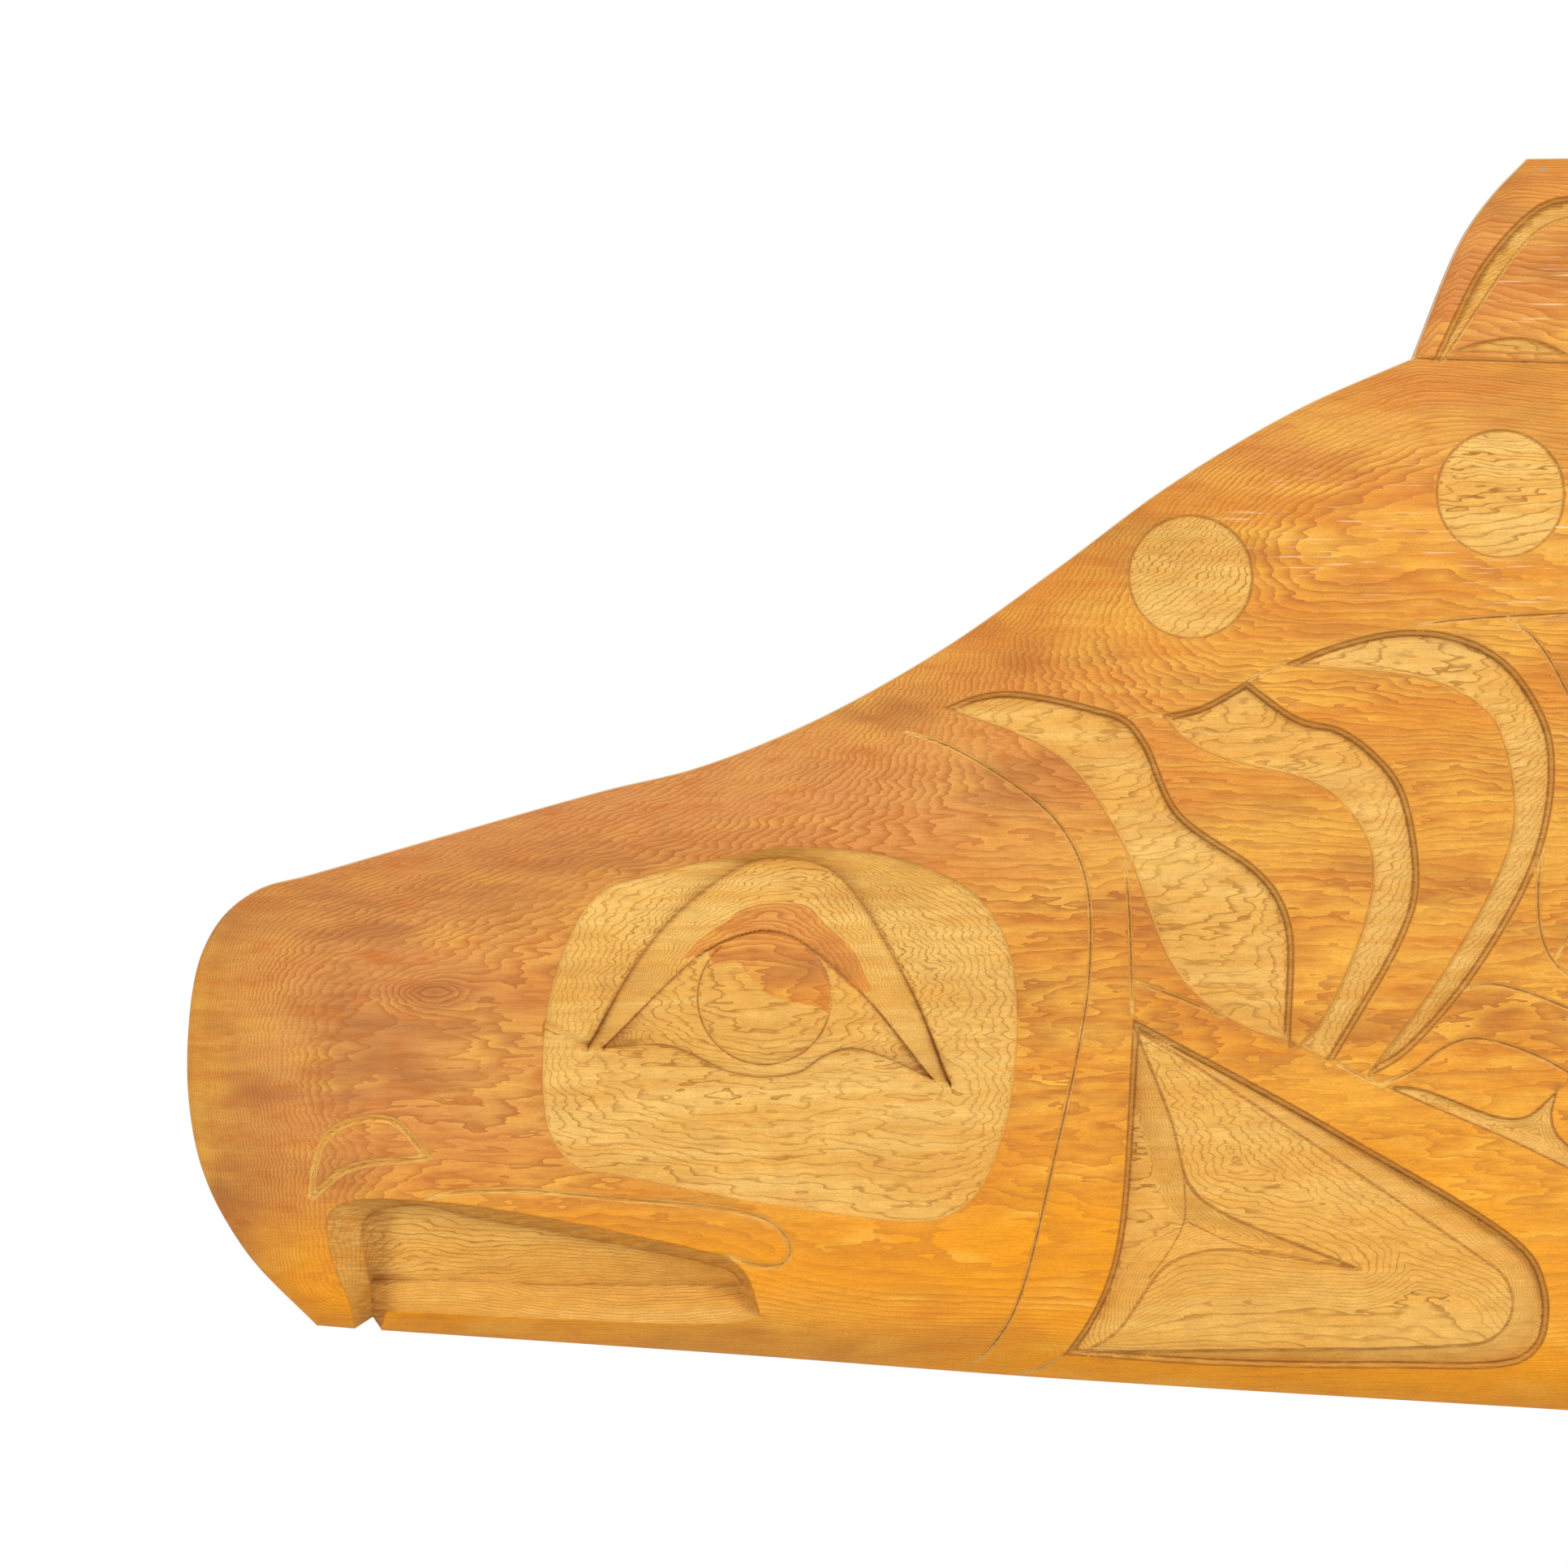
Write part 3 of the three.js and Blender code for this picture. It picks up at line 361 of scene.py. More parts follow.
def crescent(deep_side, soft_side):
    deep, soft = Curve(deep_side), Curve(soft_side)
    whole = Curve(deep_side + turned(soft_side), True)

    def cut(at):
        reached = whole.within(at)
        to_deep, to_soft = deep.distance(at[reached]), soft.distance(at[reached])
        share = to_soft / (to_soft + to_deep + 1e-6)
        floor = mix(CRESCENT_SOFT_DEPTH, CRESCENT_DEPTH, share**1.6)
        walls = np.clip(to_deep / CRESCENT_WALL, 0, 1) * np.clip(to_soft / CRESCENT_SOFT_WALL, 0, 1)
        varnish_and_shade = np.maximum(wall_stain(to_deep, CRESCENT_WALL), dark_band(0.5, to_soft, FINE_LINE, FINE_CORE))
        fresh = ease(np.minimum(to_deep, to_soft) / BARE_EDGE)
        return reached, floor * walls, fresh, varnish_and_shade, RINGS_SUNK * floor
    cuts.append(cut)
    tool_rows.append((whole, [0, 0.8, 1.6, 2.6, 3.8, -0.9]))
    hollows.append(whole)


for deep_side, soft_side in CRESCENTS:
    crescent(deep_side, soft_side)

# Side fin: the ground round the blade is cut away, falling from the blade's edge to the foot of a dark
# wall, so that the fin seems laid on the body.

BLADE_DEPTH, BLADE_STEP, CREASE_LINE = 1.2, 0.8, 1.1
GROUND_SLOPE, GROUND_DEPTH, GROUND_WALL = 0.42, 8, 2.6
BLADE_RINGS, BLADE_REACH = 0.32, 30
SIDE_FIN_WALL = [
    [(291.1, 16), (352, -17), (411.8, -54.4), (417.3, -64.9), (418.3, -74.8), (416.1, -83.6),
     (409.3, -89.3), (366.9, -90.8), (317, -90), (270.1, -86.8)],
    [(270.1, -86.8), (276.6, -77.3), (282.6, -64.9), (286.6, -48.6), (291.1, 16)],
]
SIDE_FIN_BLADE = [
    [(291.6, 13), (309.6, 2), (394.4, -54.9), (404.3, -62.4), (407.3, -69.8), (405.6, -77.3),
     (399.4, -82.6), (386.9, -84.1), (275.9, -86.1)],
    [(275.9, -86.1), (285.9, -79.8), (300.1, -60.4), (307.6, -56.4), (318.3, -54.6), (360.7, -60.6)],
    [(360.7, -60.6), (317, -42.4), (308.6, -35.4), (302.6, -15), (291.6, 13)],
]
side_fin_wall, side_fin_blade = Curve(SIDE_FIN_WALL, True), Curve(SIDE_FIN_BLADE, True)


def side_fin_cut(at):
    reached = side_fin_wall.within(at)
    there = at[reached]
    to_wall, to_blade = side_fin_wall.distance(there), side_fin_blade.distance(there)
    on_blade = side_fin_blade.contains(there)
    ground = np.minimum(GROUND_DEPTH, BLADE_DEPTH + BLADE_STEP + GROUND_SLOPE * to_blade)
    down = np.where(on_blade, BLADE_DEPTH, ground) * np.clip(to_wall / GROUND_WALL, 0, 1)
    varnish_and_shade = np.maximum(wall_stain(to_wall, GROUND_WALL), dark_band(0.85, to_blade, FINE_LINE, FINE_CORE))
    rings_below = down + np.where(on_blade, BLADE_RINGS * np.minimum(to_blade, BLADE_REACH), 0)
    return reached, down, ease(to_wall / BARE_EDGE), varnish_and_shade, rings_below


cuts.append(side_fin_cut)
tool_rows += [(side_fin_wall, [0, 0.9, 1.8, 2.6, 3.8, -0.9]),
              (side_fin_blade, [0.5, -0.5, 1.4, -1.4])]
hollows.append(side_fin_wall)

FIN_CREASES = [[(306.3, -30), (306.6, -45.6), (302, -55), (296, -63)],
               [(306.6, -45.6), (322, -52.5), (345, -57.5), (358, -60)]]


def crease_cut(curve):
    def cut(at):
        reached = np.flatnonzero(curve.near(at, 3))
        far = curve.distance(at[reached])
        return reached, 0, 0, dark_band(0.8, far, CREASE_LINE), 0
    cuts.append(cut)
    tool_rows.append((curve, [0, 0.9, -0.9]))


for line in FIN_CREASES:
    crease_cut(Curve([line]))

# Dorsal fin: a plate of the same plank. A sunk band follows its edge, cut down to a dark wall, and a
# fine line bounds the plain oiled field inside it.

FIN_BAND_DEPTH, FIN_BAND_STEP, FIN_BAND_SLOPE, FIN_BAND_TAN = 5, 1.5, 0.3, 0.3
FIN_BAND = [(383.9, 219.2), (399.9, 249.9), (416.8, 266.9), (426.8, 269.4), (456.7, 269.4),
            (471.7, 265.9), (486.7, 254.4), (497.9, 238.2), (507.1, 216)]
FIN_FIELD = [(386.9, 219.1), (411.8, 254.9), (419.3, 260.9), (428, 263.2), (454.2, 263.4),
             (466.7, 260.4), (480.4, 249.9), (491.1, 235.7), (500.6, 216.2)]
fin_band_wall, fin_field = Curve([FIN_BAND]), Curve([FIN_FIELD])
fin_band = Curve([FIN_BAND] + turned([FIN_FIELD]), True)


def fin_band_cut(at):
    reached = fin_band.within(at)
    to_wall, to_field = fin_band_wall.distance(at[reached]), fin_field.distance(at[reached])
    floor = np.minimum(FIN_BAND_DEPTH, FIN_BAND_STEP + FIN_BAND_SLOPE * to_field)
    varnish_and_shade = np.maximum(FIN_BAND_TAN, wall_stain(to_wall, GROUND_WALL))
    down = floor * np.clip(to_wall / GROUND_WALL, 0, 1)
    return reached, down, ease(to_wall / 2), varnish_and_shade, down


cuts.append(fin_band_cut)
tool_rows.append((fin_band, [0, 0.9, 1.8, 2.6, -0.9]))
groove(fin_field, GROOVE_WIDTH * 0.8, GROOVE_DEPTH * 0.8)
hollows.append(fin_band)

# Flank notch: a three-cornered cut into the cedar below the flank line. It is deepest in its middle
# and runs out to a point.

NOTCH_DEPTH, NOTCH_SLOPE, NOTCH_STEP = 4.5, 0.4, 0.8
FLANK_NOTCH = [
    [(368.2, -4.5), (378.1, -5), (404.3, -14), (411.8, -13.5), (421.1, -5.5)],
    [(421.1, -5.5), (419.3, -13.7), (421.3, -19.5), (439.3, -31.4), (454.2, -34.9)],
    [(454.2, -34.9), (436.8, -34.2), (404.3, -20), (368.2, -4.5)],
]
flank_notch = Curve(FLANK_NOTCH, True)


def flank_notch_cut(at):
    reached = flank_notch.within(at)
    inward = flank_notch.distance(at[reached])
    down = np.minimum(NOTCH_DEPTH, NOTCH_STEP * np.clip(inward / NOTCH_STEP, 0, 1) + NOTCH_SLOPE * inward)
    varnish_and_shade = dark_band(0.8, inward, 0.8, 0.4)
    return reached, down, ease(inward / BARE_EDGE), varnish_and_shade, down


cuts.append(flank_notch_cut)
tool_rows.append((flank_notch, [0, 0.6, 1.4, -0.9]))
hollows.append(flank_notch)

# Mouth: a trough behind the hooked snout. The lip is bevelled down to a dark foot, the roof falls on to
# a crease, and a pale ledge climbs from there to the lower jaw. Shade is painted on the roof, on the
# bevel and in the deep corner behind the snout.

LIP_BEVEL_DEPTH, LIP_STEP, MOUTH_DEPTH = 8, 2, 18
# Painted shade on the mouth's roof, under the lip, and on the lip's bevel.
ROOF_SHADE, BEVEL_SHADE = 0.16, 0.5
MOUTH_CORNER, CORNER_REACH = 57, 9  # where the deep corner behind the snout is darkened, by varnish and painted shade, and how far, in shares
MOUTH_RIM = [
    [(52.1, -78.8), (50.1, -69.8), (46.4, -62.4), (43.4, -46.1), (46.1, -41.7), (52.6, -39.4),
     (82.6, -40.4), (122.5, -46.9), (166.6, -56.6)],
    [(166.6, -56.6), (172.4, -62.4), (176.9, -75.3)],
    [(176.9, -75.3), (167.4, -77.3), (61.4, -73.8)],
    [(61.4, -73.8), (59.6, -79.1)],
]
BEVEL_FOOT = [(57.4, -76.3), (57.1, -67.3), (54.4, -48.6), (56.4, -44.2), (70.1, -40.9),
              (87.6, -44.4), (137.4, -53.9), (160.5, -58.9), (168.6, -61.9), (174.8, -72.5)]
MOUTH_CREASE = [(58.1, -64.1), (82.6, -64.1), (112.5, -65.6), (170.4, -65.6)]
mouth, bevel_foot, mouth_crease = Curve(MOUTH_RIM, True), Curve([BEVEL_FOOT]), Curve([MOUTH_CREASE])
mouth_floor = Curve([BEVEL_FOOT, [(174.8, -72.5), (176.9, -75.3)], *MOUTH_RIM[2:]], True)
lower_rim = Curve([MOUTH_RIM[2]])


def mouth_cut(at):
    reached = mouth.within(at)
    there = at[reached]
    to_rim, to_foot = mouth.distance(there), bevel_foot.distance(there)
    to_crease, to_lower = mouth_crease.distance(there), lower_rim.distance(there)
    first, last = mouth_crease.chain[0], mouth_crease.chain[-1]
    level = mix(first[1], last[1], np.clip((there[:, 0] - first[0]) / (last[0] - first[0]), 0, 1))
    bevel = LIP_BEVEL_DEPTH * to_rim / (to_rim + to_foot + 1e-6)
    roof = mix(LIP_BEVEL_DEPTH + LIP_STEP, MOUTH_DEPTH, to_foot / (to_foot + to_crease + 1e-6))
    ledge = MOUTH_DEPTH * (to_lower / (to_lower + to_crease + 1e-6)) ** 0.8
    inside = mouth_floor.contains(there)
    down = np.where(inside, np.where(there[:, 1] > level, roof, ledge), bevel)
    # The roof and the bevel get painted shade, the ledge below the crease none; a fine varnish line runs
    # at the bevel's foot.
    varnish_and_shade = np.maximum(dark_band(0.7, to_foot, 1.2, FINE_CORE), np.where(inside, ROOF_SHADE, BEVEL_SHADE))
    varnish_and_shade = np.where((there[:, 1] < level) & inside, 0, varnish_and_shade)
    # Darker along the crease and in the deep corner behind the snout, by varnish and painted shade.
    corner = np.exp(-(((there[:, 0] / SHARE - MOUTH_CORNER) / CORNER_REACH) ** 2))
    varnish_and_shade = np.maximum(varnish_and_shade, dark_band(0.5, to_crease, 1.5) + 0.75 * corner * inside)
    fresh = np.where(inside, 1, 0.55) * ease(to_rim / BARE_EDGE)
    return reached, down, fresh, varnish_and_shade, RINGS_SUNK * down


cuts.append(mouth_cut)
tool_rows += [(mouth, [0, 0.8, -0.9]), (bevel_foot, [0, 0.8, -0.8]), (mouth_crease, [0, 0.8, -0.8])]
hollows.append(mouth)

# Eye: a shallow oval socket falls to the lids, the eyeball stands in it as a low mound between two deep
# corners, and the middle of the lid and of the eyeball keep the old varnished surface.

EYE_RINGS = 2.5
IRIS_LINE, IRIS_CUT, OLD_EDGE = 0.8, 0.7, 1.6
# How far the eye's deep corners are darkened by varnish and painted shade, the length and width of the
# painted shadow along the lid lines by the corners, and how far the painted shadow above the lid reaches.
CORNER_VARNISH_AND_SHADE, FOLD_LENGTH, FOLD_WIDTH, LID_SHADE = 14, 30, 6, 10
SOCKET_STEP, LID_DEPTH, EYE_CORNER_DEPTH, EYE_RIM_DEPTH, EYE_CENTRE_DEPTH = 0.8, 6, 9, 3.8, 0.5
EYE_REACH, EYE_CORNER_REACH = np.array([50, 25]) * SHARE, 8.1 * SHARE
SOCKET = [[(182.3, 69.3), (207.3, 67.8), (227.2, 62.9), (243.5, 53.6), (252.2, 39.9), (255.2, 23.7),
           (254.7, 0), (250.2, -22.4), (243.5, -36.9), (232.2, -45.1), (187.3, -41.9), (132.5, -31.7),
           (120.5, -29.4), (113, -21.2), (109.8, -7.5), (112.5, 26.2), (126.2, 54.1), (142.4, 60.4),
           (182.3, 69.3)]]
LID_OUTER = [(124, 8), (139.9, 35.4), (152.4, 49.9), (174.4, 64.6), (192.3, 64.6), (202.3, 58.6),
             (222.2, 26.2), (234.7, -3.7)]
LID_INNER = [(128.7, 7.5), (158.6, 36.2), (168.6, 41.2), (177.8, 43.2), (187.3, 40.9), (207.3, 24.4),
             (229, -2)]
LID_LOWER = [(229, -2), (212.3, 5.5), (203.5, 7.2), (196.1, 5), (188.6, 0), (177.8, -1.5), (167.4, 0),
             (148.7, 8), (128.7, 7.5)]
OLD_LID = [[(152, 34.2), (158.6, 41.2), (166.1, 46.1), (171.1, 49.9), (177.4, 51.6), (186.1, 51.6),
            (192.3, 49.9), (196.1, 45.4), (204.8, 37.4), (211, 24.9)],
           [(211, 24.9), (207.3, 24.4), (187.3, 40.9), (177.8, 43.2), (168.6, 41.2), (158.6, 36.2),
            (152, 34.2)]]
OLD_EYE = [[(160, 36.8), (162.5, 33), (170, 33.5), (174, 28.5), (178.5, 24), (186, 21.5), (192, 20.5),
            (197.6, 18)],
           [(197.6, 18), (198, 27), (194, 35.3), (187.3, 40.9), (177.8, 43.2), (168.6, 41.2), (160, 36.8)]]
IRIS, IRIS_RADIUS = np.array([177.8, 22.7]), 20.5
socket, opening = Curve(SOCKET, True), Curve([LID_INNER, LID_LOWER], True)
lid_outer, lid_inner, lid_lower = Curve([LID_OUTER]), Curve([LID_INNER]), Curve([LID_LOWER])
lid = Curve([LID_OUTER, [(234.7, -3.7), (229, -2)], LID_INNER[::-1]], True)
old_lid, old_eye = Curve(OLD_LID, True), Curve(OLD_EYE, True)


def eye_cut(at):
    reached = socket.within(at)
    there = at[reached]
    corners = [np.linalg.norm(there - c, axis=1) for c in (lid_inner.chain[0], lid_inner.chain[-1])]
    pit = (EYE_CORNER_DEPTH - EYE_RIM_DEPTH) * np.exp(-((np.min(corners, 0) / EYE_CORNER_REACH) ** 2))
    out = np.linalg.norm((there - IRIS * SHARE) / EYE_REACH, axis=1)
    eyeball = mix(EYE_CENTRE_DEPTH, EYE_RIM_DEPTH, np.clip(out, 0, 1) ** 2) + pit
    to_outer, to_inner, to_lower = (c.distance(there) for c in (lid_outer, lid_inner, lid_lower))
    lid_band = mix(LID_DEPTH, SOCKET_STEP, (to_outer / (to_outer + to_inner + 1e-6)) ** 0.8) + pit
    rim = mix(EYE_RIM_DEPTH, LID_DEPTH, ease((there[:, 1] / SHARE - 5) / 40))
    from_edge, to_eye = socket.distance(there), np.minimum(to_outer, to_lower)
    bowl = mix(SOCKET_STEP, rim, from_edge / (from_edge + to_eye + 1e-6))
    bowl = bowl * np.clip(from_edge / SPOT_WALL, 0, 1) + 0.6 * pit
    in_opening, in_lid = opening.contains(there), lid.contains(there)
    down = np.where(in_opening, eyeball, np.where(in_lid, lid_band, bowl))
    ring = np.abs(np.linalg.norm(there - IRIS * SHARE, axis=1) - IRIS_RADIUS * SHARE)
    ring = np.where(in_opening & (to_inner > 1.8), 1 - np.clip(ring / IRIS_LINE, 0, 1), 0)
    down += IRIS_CUT * ring
    pale = ease(from_edge / BARE_EDGE)
    for patch in (old_lid, old_eye):
        kept = np.where(patch.contains(there), 1, -1) * patch.distance(there)
        pale *= 1 - ease(0.5 + kept / OLD_EDGE)
    # Fine dark lines along the lid lines, and darkening in the deep corners by varnish and painted shade.
    line, corner = np.minimum(to_inner, to_lower), np.exp(-((np.min(corners, 0) / CORNER_VARNISH_AND_SHADE) ** 2))
    varnish_and_shade = np.maximum(dark_band(0.9, line, FINE_LINE, FINE_CORE), np.where(in_opening, 0.75, 0.3) * corner)
    varnish_and_shade = np.maximum(varnish_and_shade, dark_band(0.95, to_outer, 1.1, 0.3))
    # Painted shadow, with varnish: a dark wedge in the eyeball's corners, along the lid lines.
    fold = np.exp(-((np.min(corners, 0) / FOLD_LENGTH) ** 2) - (line / FOLD_WIDTH) ** 2)
    varnish_and_shade = np.maximum(varnish_and_shade, np.where(in_opening, 0.8 * fold, 0))
    # Painted shadow on the socket above the lid, darkest along the lid's outer edge.
    over = np.where(in_opening | in_lid, 0, ease((there[:, 1] / SHARE - 25) / 40))
    varnish_and_shade = np.maximum(np.maximum(varnish_and_shade, 0.8 * ring), dark_band(0.55 * over, to_outer, LID_SHADE))
    rings = EYE_RINGS * np.maximum(down - pit, 0)
    return reached, down, pale, np.maximum(varnish_and_shade, dark_band(0.3, from_edge, BARE_EDGE)), rings


cuts.append(eye_cut)
iris = Curve([round_line(*IRIS, IRIS_RADIUS)], True)
tool_rows += [(iris, [0, 0.8, -0.8]), (old_lid, [0, 0.8, -0.8]), (old_eye, [0.8, -0.8]),
              (socket, [0, 0.6, 1.2, -0.9]), (lid_outer, [0, 0.8, -0.8]), (lid_inner, [0, 0.7, -0.7]),
              (lid_lower, [0, 0.7, -0.7])]
hollows.append(socket)

# The carving's surface: one skin over the carved face, round the sawn edge and across the flat back.
# The cedar's edge is eased in front and has a small chamfer behind. Points stand closest where the
# tools went.

SEEN = 440 * SHARE  # the finely carved front part ends here
ROW_STEP, PLAIN_ROW_STEP = 2.2, 5
HOLLOW_STEP, FACE_STEP, PLAIN_STEP = 2.6, 6.5, 11
RIM_ROWS = (0.8, 1.8, 3.6, 7)
RIM_MARGIN, ROW_GAP = 0.6, 0.55
WALL_ROWS = (0.95, 0.6, 0.3)  # down the sawn edge, in shares of its height
BACK_CHAMFER = 1.5
CELL = 4
CREASE_ANGLE = math.radians(62)


def stations(chain):
    """Points picked along a chain, closer together on the finely carved front."""
    piece = np.linalg.norm(np.diff(chain, axis=0), axis=1)
    middle = (chain[1:, 0] + chain[:-1, 0]) / 2
    count = np.concatenate([[0], np.cumsum(piece / np.where(middle < SEEN, ROW_STEP, PLAIN_ROW_STEP))])
    even = np.linspace(0, count[-1], max(2, math.ceil(count[-1]) + 1))
    return np.stack([np.interp(even, count, chain[:, k]) for k in (0, 1)], axis=1)


def beside(curve, offset):
    """A row beside a curve; inside a closed one where offset is positive."""
    line = stations(curve.chain)
    along = np.gradient(line, axis=0)
    normal = np.stack([-along[:, 1], along[:, 0]], axis=1)
    normal /= np.linalg.norm(normal, axis=1)[:, None]
    row = line + normal * offset * curve.inward
    return row[curve.distance(row) > 0.9 * abs(offset)] if offset else row


def even_fill(low, high, step):
    down, across = np.arange(low[1], high[1], step * 0.866), np.arange(low[0], high[0], step)
    x, y = np.meshgrid(across, down)
    x[1::2] += step / 2
    return np.stack([x.ravel(), y.ravel()], axis=1)


class Scatter:
    """Points kept only where none stands closer than a gap."""

    def __init__(self, points):
        self.points = [tuple(p) for p in points]
        self.cells = {}
        for p in self.points:
            self.cells.setdefault((int(p[0] // CELL), int(p[1] // CELL)), []).append(p)

    def add(self, points, gap):
        reach = math.ceil(gap / CELL)
        for x, y in points:
            i, j = int(x // CELL), int(y // CELL)
            near = (q for a in range(i - reach, i + reach + 1) for b in range(j - reach, j + reach + 1)
                    for q in self.cells.get((a, b), ()))
            if all((q[0] - x) ** 2 + (q[1] - y) ** 2 > gap * gap for q in near):
                self.points.append((x, y))
                self.cells.setdefault((i, j), []).append((x, y))


def on_face(points, margin):
    return points[outline.signed(points) > margin]


edge_corners = [stations(stroke(s, 1)) for s in OUTLINE]
edge_loop = np.vstack([c[:-1] for c in edge_corners])
scatter = Scatter(edge_loop)
for curve, offsets in tool_rows:
    for offset in offsets:
        scatter.add(on_face(beside(curve, offset), RIM_MARGIN), ROW_GAP)
for offset in RIM_ROWS:
    scatter.add(on_face(beside(outline, offset), RIM_MARGIN), 0.7 if offset < 3 else 2)
for hollow in hollows:
    fine = HOLLOW_STEP if hollow.low[0] < SEEN else 2 * HOLLOW_STEP
    inside = even_fill(hollow.low, hollow.high, fine)
    scatter.add(on_face(inside[hollow.contains(inside)], 1), 0.6 * fine)
face_fill = even_fill(outline.low, outline.high, FACE_STEP)
scatter.add(on_face(face_fill[face_fill[:, 0] < SEEN], 3), 0.6 * FACE_STEP)
plain_fill = even_fill(outline.low, outline.high, PLAIN_STEP)
scatter.add(on_face(plain_fill[plain_fill[:, 0] >= SEEN], 3), 0.6 * PLAIN_STEP)

loop = list(range(len(edge_loop)))
flat, _, face_triangles, *_ = delaunay_2d_cdt(scatter.points, [], [loop], 1, 1e-6)
at = np.array([tuple(v) for v in flat])
down, pale, varnish_and_shade, sunk_rings = (np.zeros(len(at)) for _ in range(4))
for cut in cuts:
    reached, depth, fresh, dark, rings_below = cut(at)
    sunk_rings[reached] = np.maximum(sunk_rings[reached], rings_below)
    down[reached] = np.maximum(down[reached], depth)
    pale[reached] = np.maximum(pale[reached], fresh)
    varnish_and_shade[reached] = np.maximum(varnish_and_shade[reached], dark)
height = uncut_height(at) - down

rim = len(edge_loop)
run = np.roll(edge_loop, -1, axis=0) - np.roll(edge_loop, 1, axis=0)
inward = np.stack([-run[:, 1], run[:, 0]], axis=1) * outline.inward
back_loop = edge_loop + BACK_CHAMFER * inward / np.linalg.norm(inward, axis=1)[:, None]
walls = [np.column_stack([edge_loop, height[:rim] * share]) for share in WALL_ROWS]
walls.append(np.column_stack([edge_loop, np.full(rim, BACK_CHAMFER)]))
walls.append(np.column_stack([back_loop, np.zeros(rim)]))
spots = np.vstack([np.column_stack([at, height])] + walls)
vertices = np.column_stack([spots[:, 0] - HANG[0], -spots[:, 2], spots[:, 1] - HANG[1]]) / 1000
rings = [loop] + [list(range(len(at) + k * rim, len(at) + (k + 1) * rim)) for k in range(len(walls))]
faces = [tuple(t) for t in face_triangles]
for upper, lower in zip(rings, rings[1:]):
    for i in range(rim):
        j = (i + 1) % rim
        quad = (upper[i], lower[i], lower[j], upper[j])
        faces.append(quad[::-1] if outline.inward < 0 else quad)
_, _, back_triangles, *_ = delaunay_2d_cdt([tuple(p) for p in back_loop], [], [loop], 1, 1e-6)
flat_from = len(faces) - rim  # the back chamfer's faces, and then the back's
faces += [tuple(rings[-1][i] for i in t[::-1]) for t in back_triangles]

# Colour follows where the plank was touched: the fins and skull keep a redder oil finish, greyed with
# a painted sheen, and the cheek and the back a golden one. A pale line along the sawn top edge is a
# painted highlight, where the eased edge faces the light from above.

# How wide the painted highlight along the top edge is, in millimetres, and the height, in shares, where it
# begins.
TOP_LINE, TOP_LINE_ABOVE = 0.8, 48
PATCHES = {  # along, up, reach along, reach up, amount
    "red": [(60, 40, 60, 50, 0.8), (150, 85, 90, 28, 1), (250, 95, 60, 40, 0.45), (90, -20, 70, 40, 0.45),
            (390, 245, 40, 40, 0.8), (25, -50, 40, 60, 0.4), (330, 190, 70, 14, 0.4),
            (180, 38, 30, 16, 0.4), (0, 0, 12, 50, -0.5)],
    "deep": [(150, -58, 140, 20, 0.9), (330, -98, 220, 14, 1), (60, -70, 60, 24, 0.7),
             (265, -60, 30, 30, 0.6), (345, -50, 70, 45, 0.7), (470, -60, 160, 60, 0.5)],
    "brown": [(47, 14, 9, 34, 0.7), (70, 53, 70, 9, 0.5), (13, -40, 9, 20, 0.6), (130, 66, 60, 9, 0.5),
              (78, 22, 26, 8, 0.5), (60, -46, 30, 8, 0.3)],
    "streaked": [(440, 238, 40, 16, 1), (415, 165, 40, 30, 0.9), (345, 165, 26, 16, 0.8),
             (620, 130, 120, 30, 0.7)],
}


def tint(spots):
    amount = np.zeros(len(vertices))
    u, v = ((vertices[:, [0, 2]] * 1000 + HANG) / SHARE).T
    for along, up, wide, tall, strength in spots:
        amount += strength * np.exp(-(((u - along) / wide) ** 2) - ((v - up) / tall) ** 2)
    return np.clip(amount, 0, 1)


from_edge = outline.distance(at)
# Painted highlight: a pale line along the top edge, where the eased edge faces the light from above.
top_edge_highlight = (1 - ease(from_edge / TOP_LINE)) * ease((at[:, 1] / SHARE - TOP_LINE_ABOVE) / 10)
sawn = np.where(vertices[:, 1] > -1e-6, 1, 0)
skin = bpy.data.meshes.new("salmon_carved")
skin.from_pydata(vertices.tolist(), [], faces)
skin.validate()
touched = {"pale": pale, "varnish_and_shade": varnish_and_shade, "sunk_rings": sunk_rings, "edge": top_edge_highlight, "sawn": sawn}
touched.update({name: tint(spots) for name, spots in PATCHES.items()})
for name, values in touched.items():
    column = np.zeros(len(vertices), np.float32)
    column[:len(values)] = values
    skin.attributes.new(name, "FLOAT", "POINT").data.foreach_set("value", column)
skin.shade_smooth()
skin.set_sharp_from_angle(angle=CREASE_ANGLE)
skin.polygons.foreach_set("use_smooth", [i < flat_from for i in range(len(skin.polygons))])
salmon = bpy.data.objects.new("salmon_carved", skin)
bpy.context.collection.objects.link(salmon)


# Wood: red cedar, sawn so that its year rings run through the whole plank as shells round the tree's
# middle, which lies behind the back. What is cut deeper shows other rings. The face is oiled, the
# hollows are bare and the back is raw from the saw.

